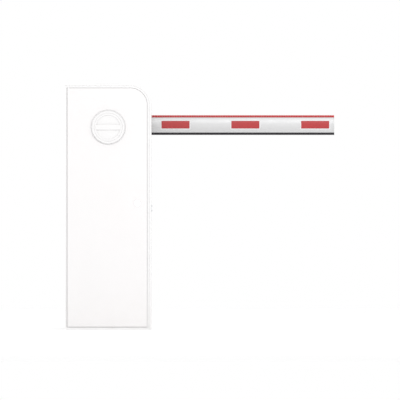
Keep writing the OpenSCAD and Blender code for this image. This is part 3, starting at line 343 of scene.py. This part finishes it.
def dress(node):
    """Gives a CAD node its finish."""
    obj = NODES[node]
    obj.data.materials.clear()
    obj.data.materials.append(MATERIALS[SLOT_OF[node]])
    soften(obj, EDGE.get(node, USUAL_EDGE))


for node_name in NODES:
    dress(node_name)

# ---------- shapes that the detailed pieces are made of ----------


def mid(low, high, share=0.5):
    """The place between two values at a share of the way."""
    return low + (high - low) * share


def put(name, bm, slot, body, width=0.0, stands_for=(), material=None):
    """Puts a mesh in the scene as a piece that rides a body."""
    bmesh.ops.recalc_face_normals(bm, faces=bm.faces)
    mesh = bpy.data.meshes.new(name)
    bm.to_mesh(mesh)
    bm.free()
    mesh.materials.append(material or MATERIALS[slot])
    obj = bpy.data.objects.new(name, mesh)
    bpy.context.scene.collection.objects.link(obj)
    soften(obj, width)
    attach(obj, body)
    if stands_for:
        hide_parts(*stands_for)
    return obj


def circle_points(place, radius, height, sides):
    """Points round the place's Z axis, or the one on it where the radius is 0."""
    if radius == 0:
        return [place @ Vector((0, 0, height))]
    angles = [2 * math.pi * i / sides for i in range(sides)]
    return [place @ Vector((radius * math.cos(a), radius * math.sin(a), height)) for a in angles]


def spin(bm, profile, place, sides):
    """A turned shape: (radius, height) pairs round the place's Z axis, from one pole to the other."""
    rings = [[bm.verts.new(p) for p in circle_points(place, radius, height, sides)]
             for radius, height in profile]
    for first, second in zip(rings, rings[1:]):
        for i in range(sides):
            j = (i + 1) % sides
            corners = [first[i % len(first)], first[j % len(first)],
                       second[j % len(second)], second[i % len(second)]]
            bm.faces.new(list(dict.fromkeys(corners)))


def rounded_box(bm, low, high, radius):
    """A box given by its lowest and highest corners, with rounded edges."""
    made = bmesh.ops.create_cube(bm, size=1.0)["verts"]
    centre = (Vector(low) + Vector(high)) / 2
    size = Vector(high) - Vector(low)
    for vert in made:
        vert.co = centre + Vector(a * b for a, b in zip(vert.co, size))
    edges = list({edge for vert in made for edge in vert.link_edges})
    bmesh.ops.bevel(bm, geom=edges, offset=radius, segments=2, profile=0.5, affect="EDGES")


def tube(bm, points, radius, sides):
    """A closed tube along a line of points. Its section is carried along without a twist."""
    points = [Vector(p) for p in points]
    rings = []
    side = None
    for i, point in enumerate(points):
        ahead = (points[min(i + 1, len(points) - 1)] - points[max(i - 1, 0)]).normalized()
        if side is None:
            side = ahead.orthogonal()
        side = (side - ahead * side.dot(ahead)).normalized()
        across = ahead.cross(side)
        angles = [2 * math.pi * j / sides for j in range(sides)]
        rings.append([bm.verts.new(point + radius * (math.cos(a) * side + math.sin(a) * across))
                      for a in angles])
    for first, second in zip(rings, rings[1:]):
        for i in range(sides):
            j = (i + 1) % sides
            bm.faces.new((first[i], first[j], second[j], second[i]))
    bm.faces.new(rings[0][::-1])
    bm.faces.new(rings[-1])


def bezier(a, b, c, d, steps):
    """Points on a cubic curve, without its first."""
    shares = [(i + 1) / steps for i in range(steps)]
    return [a * (1 - t) ** 3 + b * 3 * t * (1 - t) ** 2 + c * 3 * t * t * (1 - t) + d * t ** 3
            for t in shares]


def smooth_route(route, steps):
    """Points on a Catmull-Rom curve through a route."""
    route = [Vector(p) for p in route]
    last = len(route) - 1
    points = [route[0]]
    for i in range(last):
        before, here, there, after = (route[min(max(k, 0), last)] for k in (i - 1, i, i + 1, i + 2))
        points += bezier(here, here + (there - before) / 6, there - (after - here) / 6, there, steps)
    return points


def arc(centre, radius, start, end, steps):
    """Points of a flat arc, angles in degrees."""
    angles = [math.radians(start + (end - start) * i / steps) for i in range(steps + 1)]
    return [(centre[0] + radius * math.cos(a), centre[1] + radius * math.sin(a)) for a in angles]


def extrude_loops(loops, x0, x1):
    """A bar along X. Its outline is drawn in Y and Z, and a second loop in it is a hollow."""
    curve = bpy.data.curves.new("section", "CURVE")
    curve.dimensions = "2D"
    curve.fill_mode = "BOTH"
    curve.extrude = (x1 - x0) / 2
    for loop in loops:
        spline = curve.splines.new("POLY")
        spline.points.add(len(loop) - 1)
        for point, (y, z) in zip(spline.points, loop):
            point.co = (y, z, 0.0, 1.0)
        spline.use_cyclic_u = True
    drawn = bpy.data.objects.new("section", curve)
    bm = bmesh.new()
    bm.from_mesh(drawn.to_mesh())
    bpy.data.objects.remove(drawn)
    bpy.data.curves.remove(curve)
    bmesh.ops.remove_doubles(bm, verts=bm.verts, dist=1e-6)
    for vert in bm.verts:
        vert.co = Vector(((x0 + x1) / 2 + vert.co.z, vert.co.x, vert.co.y))
    return bm


# ---------- boom ----------

TUBE_LOW, TUBE_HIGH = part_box("boom_tube")
STRIP_LOW, STRIP_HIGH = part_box("led_strip")
BUMPER_LOW, BUMPER_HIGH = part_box("boom_bumper")
BOOM_Y = mid(TUBE_LOW.y, TUBE_HIGH.y)
BOOM_Z = mid(TUBE_LOW.z, TUBE_HIGH.z)
SIDE_RADIUS = 0.066            # curve of the boom's two sides
FOOT_HALF = 0.00275            # half width of the foot that both strips have in the boom's slots
FOOT_WIDE = 0.00525            # its half width behind the slot's lips
FOOT_NECK = 0.00325
FOOT_DEPTH = 0.00775


def foot_outline(surface_z, inward):
    """The outline of a foot in a slot of the boom, from one side of the slot's mouth to the other."""
    neck = surface_z + inward * FOOT_NECK
    deep = surface_z + inward * FOOT_DEPTH
    half = [(FOOT_HALF, surface_z), (FOOT_HALF, neck), (FOOT_WIDE, neck), (FOOT_WIDE, deep)]
    return [(BOOM_Y + y, z) for y, z in half] + [(BOOM_Y - y, z) for y, z in reversed(half)]


STRIP_HALF = (STRIP_HIGH.y - STRIP_LOW.y) / 2
RAIL_TOP = TUBE_HIGH.z + 0.0030
LENS_LENGTH = 0.010            # about: whole lenses fill the strip


def led_rail():
    """The dark red rail, with its foot in the boom's upper slot."""
    lip = 0.0008
    left = BOOM_Y - STRIP_HALF
    right = BOOM_Y + STRIP_HALF
    outline = foot_outline(TUBE_HIGH.z, -1.0) + [
        (left, TUBE_HIGH.z), (left, RAIL_TOP - lip), (left + lip, RAIL_TOP),
        (right - lip, RAIL_TOP), (right, RAIL_TOP - lip), (right, TUBE_HIGH.z)]
    put("led_strip_rail", extrude_loops([outline], STRIP_LOW.x, STRIP_HIGH.x), "led_red", "boom",
        FINE_EDGE, ("led_strip",), EXTRA["rail_red"])


def led_lenses():
    """A row of clear red lenses, one over each light."""
    count = round((STRIP_HIGH.x - STRIP_LOW.x) / LENS_LENGTH)
    pitch = (STRIP_HIGH.x - STRIP_LOW.x) / count
    gap = 0.0004
    inset = 0.0003
    sunk = 0.0012
    rounding = 0.0011
    lenses = bmesh.new()
    for i in range(count):
        x = STRIP_LOW.x + i * pitch
        low = (x + gap / 2, BOOM_Y - STRIP_HALF + inset, RAIL_TOP - sunk)
        high = (x + pitch - gap / 2, BOOM_Y + STRIP_HALF - inset, STRIP_HIGH.z)
        rounded_box(lenses, low, high, rounding)
    put("led_strip_lenses", lenses, "led_red", "boom", 0.0, ("led_strip",))


def rubber_edge():
    """A hollow rubber bulb with round lower corners."""
    half = (BUMPER_HIGH.y - BUMPER_LOW.y) / 2
    corner = 0.0060
    wall = 0.0022
    low = BUMPER_LOW.z
    right = arc((BOOM_Y + half - corner, low + corner), corner, 0, -90, 7)
    left = arc((BOOM_Y - half + corner, low + corner), corner, 270, 180, 7)
    outline = foot_outline(TUBE_LOW.z, 1.0) + [(BOOM_Y - half, TUBE_LOW.z)] + left[::-1] + right[::-1]
    outline.append((BOOM_Y + half, TUBE_LOW.z))
    inner_half = half - wall
    inner = corner - wall
    top = TUBE_LOW.z - wall
    hollow = [(BOOM_Y - inner_half, top)]
    hollow += arc((BOOM_Y - inner_half + inner, low + wall + inner), inner, 180, 270, 6)
    hollow += arc((BOOM_Y + inner_half - inner, low + wall + inner), inner, 270, 360, 6)
    hollow.append((BOOM_Y + inner_half, top))
    put("boom_rubber_edge", extrude_loops([outline, hollow], BUMPER_LOW.x, BUMPER_HIGH.x), "rubber_black",
        "boom", FINE_EDGE, ("boom_bumper",))


REFLECTOR_COUNT = 3            # on each side of the boom
REFLECTOR_LENGTH = 0.1155


def patch_rows(low, high, corner):
    """The heights of a foil's rows, each with how far its ends are set in for the round corners."""
    corner_steps = 5
    straight_steps = 10
    angles = [math.radians(90 * i / corner_steps) for i in range(corner_steps + 1)]
    round_rows = [(corner * (1 - math.cos(a)), corner * (1 - math.sin(a))) for a in angles]
    lower = [(low + rise, inset) for rise, inset in round_rows]
    upper = [(high - rise, inset) for rise, inset in reversed(round_rows)]
    straight = high - low - 2 * corner
    middle = [(low + corner + straight * i / straight_steps, 0.0) for i in range(1, straight_steps)]
    return lower + middle + upper


def curved_patch(bm, x_mid, side, length, low, high, inner, outer, corner):
    """A foil with round corners, bent round one side of the boom."""
    centre = BOOM_Y - side * (SIDE_RADIUS - (TUBE_HIGH.y - TUBE_LOW.y) / 2)
    lines = []
    for z, inset in patch_rows(low, high, corner):
        line = []
        for radius in (SIDE_RADIUS + inner, SIDE_RADIUS + outer):
            y = centre + side * math.sqrt(radius ** 2 - (z - BOOM_Z) ** 2)
            half = length / 2 - inset
            line += [bm.verts.new((x_mid - half, y, z)), bm.verts.new((x_mid + half, y, z))]
        lines.append(line)
    for first, second in zip(lines, lines[1:]):
        for a, b in ((0, 1), (1, 3), (3, 2), (2, 0)):
            bm.faces.new((first[a], first[b], second[b], second[a]))
    for line in (lines[0], lines[-1]):
        bm.faces.new((line[0], line[1], line[3], line[2]))


def reflectors():
    """Red foils on white ones, on both sides of the boom."""
    red_low, red_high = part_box("reflectors_red")
    rim_low, rim_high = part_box("reflector_borders")
    pitch = (red_high.x - red_low.x - REFLECTOR_LENGTH) / (REFLECTOR_COUNT - 1)
    rim_length = REFLECTOR_LENGTH + 2 * (red_low.x - rim_low.x)
    rim_outer = 0.0008
    red_outer = rim_outer + 0.0007
    rim_corner = 0.0040
    red_corner = 0.0020
    rims = bmesh.new()
    reds = bmesh.new()
    for i in range(REFLECTOR_COUNT):
        x_mid = red_low.x + REFLECTOR_LENGTH / 2 + i * pitch
        for side in (-1, 1):
            curved_patch(rims, x_mid, side, rim_length, rim_low.z, rim_high.z, 0.0, rim_outer, rim_corner)
            curved_patch(reds, x_mid, side, REFLECTOR_LENGTH, red_low.z, red_high.z, rim_outer, red_outer,
                         red_corner)
    put("reflector_rims", rims, "border_white", "boom", FINE_EDGE, ("reflector_borders",))
    put("reflector_foils", reds, "reflector_red", "boom", FINE_EDGE, ("reflectors_red",))


# ---------- balance spring ----------

SPRING_LOW = JOINT_AT["spring_swing"]
SPRING_LEVER = 0.050           # from the main shaft to the pin that the upper loop is on
SPRING_HIGH = Vector((-SPRING_LEVER, SPRING_LOW.y, JOINT_AT["boom_lift"].z))
WIRE_RADIUS = 0.003
COIL_RADIUS = 0.015            # to the middle of the wire
COIL_END = 0.044               # from each pin to the end of the coil
COIL_TURNS = 49.5
LOWER_HOOK, UPPER_HOOK = 0.0088, 0.0100


def hook(radius):
    """The wire's line from the free end of a loop on the pin to the coil, with the coil along +Z."""
    up = Vector((0, 0, 1))
    loop_start, loop_sweep, loop_steps = 125, 285, 26
    angles = [math.radians(loop_start + loop_sweep * i / loop_steps) for i in range(loop_steps + 1)]
    line = [Vector((radius * math.cos(a), 0, radius * math.sin(a))) for a in angles]
    loop_pull = 0.006 * Vector((-math.sin(angles[-1]), 0, math.cos(angles[-1])))
    neck = up * (radius + 0.011)
    neck_pull = 0.005 * up
    line += bezier(line[-1], line[-1] + loop_pull, neck - neck_pull, neck, 8)
    shoulder = up * (COIL_END - 0.010)
    shoulder_pull = 0.009 * up
    coil_start = Vector((0, COIL_RADIUS, COIL_END))
    coil_pull = Vector((0.011, 0, -0.001))
    line.append(shoulder)
    line += bezier(shoulder, shoulder + shoulder_pull, coil_start + coil_pull, coil_start, 10)
    return line


def coil_line(span):
    """The wire's line along the coil, without the two ends that the hooks bring."""
    points_round = 20
    count = int(COIL_TURNS * points_round)
    line = []
    for i in range(1, count):
        a = math.radians(90 + 360 * COIL_TURNS * i / count)
        rise = COIL_END + (span - 2 * COIL_END) * i / count
        line.append(Vector((COIL_RADIUS * math.cos(a), COIL_RADIUS * math.sin(a), rise)))
    return line


def balance_spring():
    """A real coil under tension, with a loop on each pin."""
    span = (SPRING_HIGH - SPRING_LOW).length
    upper = [Vector((p.x, -p.y, span - p.z)) for p in reversed(hook(UPPER_HOOK))]
    line = hook(LOWER_HOOK) + coil_line(span) + upper
    along = (SPRING_HIGH - SPRING_LOW).normalized()
    across = Vector((0, 1, 0))
    place = Matrix((across.cross(along), across, along)).transposed().to_4x4()
    place.translation = SPRING_LOW
    bm = bmesh.new()
    tube(bm, [place @ p for p in line], WIRE_RADIUS, 10)
    spring = put("balance_spring_coil", bm, "spring_black", "spring", 0.0, ("balance_spring",))
    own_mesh(spring)


# ---------- cable and glands ----------

GLAND_HEIGHT = 0.014
CABLE_RADIUS = 0.004
GLAND_TOP = Vector((JOINT_AT["worm_turn"].x, 0.004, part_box("cable_glands")[1].z))
GLAND_LOW = Vector((0.078, 0.044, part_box("control_box")[1].z))
SPARE_GLAND = GLAND_LOW - Vector((0.030, 0, 0))
CABLE_ROUTE = [
    GLAND_TOP - Vector((0, 0, GLAND_HEIGHT)), GLAND_TOP - Vector((0, 0, 0.034)), (-0.052, 0.007, 0.346),
    (-0.028, 0.016, 0.322), (0.012, 0.028, 0.313), (0.050, 0.038, 0.317), (0.071, 0.043, 0.313),
    GLAND_LOW + Vector((0, 0, 0.030)), GLAND_LOW + Vector((0, 0, GLAND_HEIGHT)),
]


def motor_cable():
    """The cable from the motor's terminal box down into the control box."""
    bm = bmesh.new()
    tube(bm, smooth_route(CABLE_ROUTE, 10), CABLE_RADIUS, 16)
    put("motor_cable_jacket", bm, "rubber_black", "cabinet", 0.0, ("motor_cable",))


def gland_ribs(bm, place):
    """Grip ribs round the lower half of the nut."""
    count = 12
    middle = Vector((0.0083, 0, 0.0078))
    size = Vector((0.0012, 0.0014, 0.0040))
    for i in range(count):
        turn = place @ Matrix.Rotation(2 * math.pi * i / count, 4, "Z")
        for vert in bmesh.ops.create_cube(bm, size=1.0)["verts"]:
            vert.co = turn @ (middle + vert.co * size)


def gland(bm, place, mouth):
    """A hexagon body, and a ribbed dome nut with a mouth of the given radius."""
    body_r, body_h = 0.0098, 0.0055
    nut_r, dome_h, dome_r, shoulder_h = 0.0084, 0.0095, 0.0072, 0.0122
    lip, end_h, seal_h = 0.0008, 0.0139, 0.0130
    spin(bm, [(0, 0), (body_r, 0), (body_r, body_h), (0, body_h)], place, 6)
    nut = [(0, body_h), (nut_r, body_h), (nut_r, dome_h), (dome_r, shoulder_h), (mouth + lip, end_h),
           (mouth, end_h), (mouth, seal_h), (0, seal_h)]
    spin(bm, nut, place, 36)
    gland_ribs(bm, place)


def cable_glands():
    """A gland at each end of the motor's cable, and a spare one with a plug in it."""
    spare_mouth = 0.0045
    edge = 0.0003
    bm = bmesh.new()
    gland(bm, Matrix.Translation(GLAND_TOP) @ Matrix.Rotation(math.pi, 4, "X"), CABLE_RADIUS)
    gland(bm, Matrix.Translation(GLAND_LOW), CABLE_RADIUS)
    gland(bm, Matrix.Translation(SPARE_GLAND), spare_mouth)
    put("cable_gland_nuts", bm, "plastic_black", "cabinet", edge, ("cable_glands",))


# ---------- control box ----------

LID_LOW, LID_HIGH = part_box("control_box_lid")
LID_FACE = LID_LOW.y
SUNK = 0.002                   # depth of the recesses in the lid
DISPLAY_LEFT, DISPLAY_RIGHT = -0.080, -0.020
DISPLAY_BOTTOM, DISPLAY_TOP = 0.205, 0.240
DIGITS = 3
BUTTONS_X = [0.010 + 0.022 * i for i in range(4)]
BUTTON_Z = 0.222


def facing_door(x, y, z):
    """A place whose Z axis points at the door."""
    return Matrix.Translation((x, y, z)) @ Matrix.Rotation(math.pi / 2, 4, "X")


def display_window():
    """A dark window, loose in its recess."""
    gap = 0.0006
    behind = 0.0004
    rounding = 0.0005
    window = bmesh.new()
    rounded_box(window, (DISPLAY_LEFT + gap, LID_FACE + behind, DISPLAY_BOTTOM + gap),
                (DISPLAY_RIGHT - gap, LID_FACE + SUNK, DISPLAY_TOP - gap), rounding)
    put("display_window", window, "plastic_dark", "cabinet", 0.0, material=EXTRA["display_glass"])


def lit_bar(bm, x, z, half_width, half_height):
    """One bar of a digit, just proud of the window."""
    near, far = LID_FACE + 0.0001, LID_FACE + 0.0008
    rounded_box(bm, (x - half_width, near, z - half_height), (x + half_width, far, z + half_height),
                FINE_EDGE)


def display_bars():
    """A row of zeros, each of two level bars and four upright ones."""
    thin = 0.0007
    half_long, half_tall = 0.0032, 0.0034
    digit_half_width, digit_half_height = 0.0044, 0.0085
    z_mid = mid(DISPLAY_BOTTOM, DISPLAY_TOP)
    bars = bmesh.new()
    for i in range(DIGITS):
        x = mid(DISPLAY_LEFT, DISPLAY_RIGHT, (i + 1) / (DIGITS + 1))
        for z in (-digit_half_height, digit_half_height):
            lit_bar(bars, x, z_mid + z, half_long, thin)
            for side in (-digit_half_width, digit_half_width):
                lit_bar(bars, x + side, z_mid + z / 2, thin, half_tall)
    put("display_bars", bars, "plastic_dark", "cabinet", 0.0, material=EXTRA["display_bars"])


def panel_buttons():
    """A row of domed push buttons."""
    dome = [(0, 0), (0.0044, 0), (0.0044, 0.0030), (0.0040, 0.0038), (0.0026, 0.0043), (0, 0.0045)]
    buttons = bmesh.new()
    for x in BUTTONS_X:
        spin(buttons, dome, facing_door(x, LID_FACE + SUNK, BUTTON_Z), 28)
    put("panel_buttons", buttons, "plastic_grey", "cabinet")


def lid_screws():
    """A round-headed screw in each corner of the lid."""
    inset = 0.009
    head = [(0, 0), (0.0042, 0), (0.0042, 0.0010), (0.0034, 0.0020), (0.0016, 0.0024),
            (0.0012, 0.0012), (0, 0.0012)]
    screws = bmesh.new()
    for x in (LID_LOW.x + inset, LID_HIGH.x - inset):
        for z in (LID_LOW.z + inset, LID_HIGH.z - inset):
            spin(screws, head, facing_door(x, LID_FACE, z), 24)
    put("lid_screws", screws, "bolt_zinc", "cabinet")


# ---------- terminals ----------

BLOCKS_LOW, BLOCKS_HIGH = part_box("terminal_blocks")
BOX_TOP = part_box("control_box")[1].z
TERMINALS = 12
TERMINAL_PITCH = 0.010
TERMINAL_WIDTH = 0.0096
SCREW_OFF = 0.017              # from a terminal's middle to each screw
SCREW_SUNK = 0.008
WIRE_RADIUS_THIN = 0.0013
WIRE_COLORS = ("wires_blue", "wires_brown", "wires_grey")


def terminal_x(i):
    """The middle of a terminal."""
    return BLOCKS_LOW.x + TERMINAL_PITCH * i + TERMINAL_WIDTH / 2


def terminal_screws():
    """A clamp screw in each seat."""
    head = [(0, 0), (0.0023, 0), (0.0023, 0.0035), (0.0019, 0.0042), (0.0008, 0.0042),
            (0.0006, 0.0034), (0, 0.0034)]
    screws = bmesh.new()
    for i in range(TERMINALS):
        for side in (-1, 1):
            z = mid(BLOCKS_LOW.z, BLOCKS_HIGH.z) + side * SCREW_OFF
            spin(screws, head, facing_door(terminal_x(i), BLOCKS_LOW.y + SCREW_SUNK, z), 18)
    put("terminal_screws", screws, "bolt_zinc", "cabinet")


def wire_entry():
    """The rubber seal through which the wires go into the control box."""
    inset = 0.004
    front, back = 0.060, 0.086
    sunk, proud = 0.0005, 0.004
    rounding = 0.0015
    entry = bmesh.new()
    rounded_box(entry, (BLOCKS_LOW.x + inset, front, BOX_TOP - sunk),
                (BLOCKS_HIGH.x - inset, back, BOX_TOP + proud), rounding)
    put("wire_entry", entry, "rubber_black", "cabinet")


def wire_route(x):
    """From a terminal's underside, in a bow of its own, to the seal on the control box."""
    low = mid(mid(BLOCKS_LOW.x, BLOCKS_HIGH.x), x, 0.75)
    terminal_y = 0.080
    bow = 0.070 - 0.004 * RNG.random()
    entry_y = bow + 0.003
    return [(x, terminal_y, BLOCKS_LOW.z + 0.006), (x, terminal_y, BLOCKS_LOW.z - 0.001),
            (mid(x, low), bow, BLOCKS_LOW.z - 0.010), (low, entry_y, BOX_TOP + 0.006),
            (low, entry_y, BOX_TOP + 0.001)]


def terminal_wires():
    """A wire under each terminal, in three colours by turns."""
    for offset, name in enumerate(WIRE_COLORS):
        wires = bmesh.new()
        for i in range(offset, TERMINALS, len(WIRE_COLORS)):
            tube(wires, smooth_route(wire_route(terminal_x(i)), 6), WIRE_RADIUS_THIN, 8)
        put(name, wires, "plastic_black", "cabinet", material=EXTRA[name])


# ---------- lock ----------


def key_shutter():
    """The sprung shutter that closes the lock's key slot just under the plug's face."""
    low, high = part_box("lock_plug")
    x, z = mid(low.x, high.x), mid(low.z, high.z)
    half_width, half_height = 0.00076, 0.0039
    face, depth = low.y + 0.0007, 0.004
    bm = bmesh.new()
    rounded_box(bm, (x - half_width, face, z - half_height), (x + half_width, face + depth, z + half_height),
                FINE_EDGE)
    put("key_shutter", bm, "chrome", "lock")


led_rail()
led_lenses()
rubber_edge()
reflectors()
key_shutter()
balance_spring()
motor_cable()
cable_glands()
display_window()
display_bars()
panel_buttons()
lid_screws()
terminal_screws()
wire_entry()
terminal_wires()

# ---------- floor, light and camera ----------


FLOOR_HALF = 8.0
FLOOR_DROP = 0.0002            # keeps the floor off the base plate's underside


def make_floor():
    """A plain pale floor."""
    bm = bmesh.new()
    bmesh.ops.create_grid(bm, x_segments=8, y_segments=8, size=FLOOR_HALF)
    mesh = bpy.data.meshes.new("floor")
    bm.to_mesh(mesh)
    bm.free()
    floor = bpy.data.objects.new("floor", mesh)
    floor.location.z = -FLOOR_DROP
    bpy.context.scene.collection.objects.link(floor)
    mesh.materials.append(surface("floor_white", (0.93, 0.93, 0.93), 0.75, blotch=0.004, grain=0.02,
                                  specular=0.1, glow=((1.0, 1.0, 1.0), 0.06)))


def area_light(name, place, aim, size, power):
    data = bpy.data.lights.new(name, "AREA")
    data.shape = "DISK"
    data.size = size
    data.energy = power
    obj = bpy.data.objects.new(name, data)
    bpy.context.scene.collection.objects.link(obj)
    obj.location = place
    obj.rotation_euler = (Vector(aim) - Vector(place)).to_track_quat("-Z", "Y").to_euler()


def make_light():
    """A white room and four soft discs: over the camera, from the left, low down, and at the boom's tip."""
    world = bpy.data.worlds.new("studio")
    world.use_nodes = True
    background = world.node_tree.nodes["Background"]
    background.inputs["Color"].default_value = (1.0, 1.0, 1.0, 1.0)
    background.inputs["Strength"].default_value = 1.0
    scene = bpy.context.scene
    scene.world = world
    area_light("key", (1.0, -4.6, 3.6), (0.5, 0.0, 0.8), 3.0, 45.0)
    area_light("fill", (-4.0, -2.5, 3.0), (0.0, 0.0, 0.6), 2.5, 12.0)
    area_light("low", (-0.4, -4.5, 0.7), (0.0, 0.0, 0.3), 2.0, 11.0)
    area_light("tip", (1.7, -1.0, 1.2), (0.85, 0.18, 0.84), 0.8, 4.5)
    scene.view_settings.view_transform = "Standard"
    scene.view_settings.look = "None"
    scene.view_settings.exposure = 0.0
    scene.view_settings.gamma = 1.0


FRAME_WIDTH = 1.636            # what the view takes in, at the cabinet's front
CAMERA_AIM = Vector((0.3755, 0.0, 0.5305))
CAMERA_DISTANCE = 40.0         # far off, because the photo shows hardly any perspective


def make_camera():
    """A level view along +Y."""
    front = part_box("front_frame")[0].y
    data = bpy.data.cameras.new("camera")
    data.lens = data.sensor_width * CAMERA_DISTANCE / FRAME_WIDTH
    data.clip_start = 0.5
    data.clip_end = 200.0
    obj = bpy.data.objects.new("camera", data)
    bpy.context.scene.collection.objects.link(obj)
    obj.location = (CAMERA_AIM.x, front - CAMERA_DISTANCE, CAMERA_AIM.z)
    obj.rotation_euler = (math.radians(90), 0.0, 0.0)
    bpy.context.scene.camera = obj


make_camera()
make_floor()
make_light()
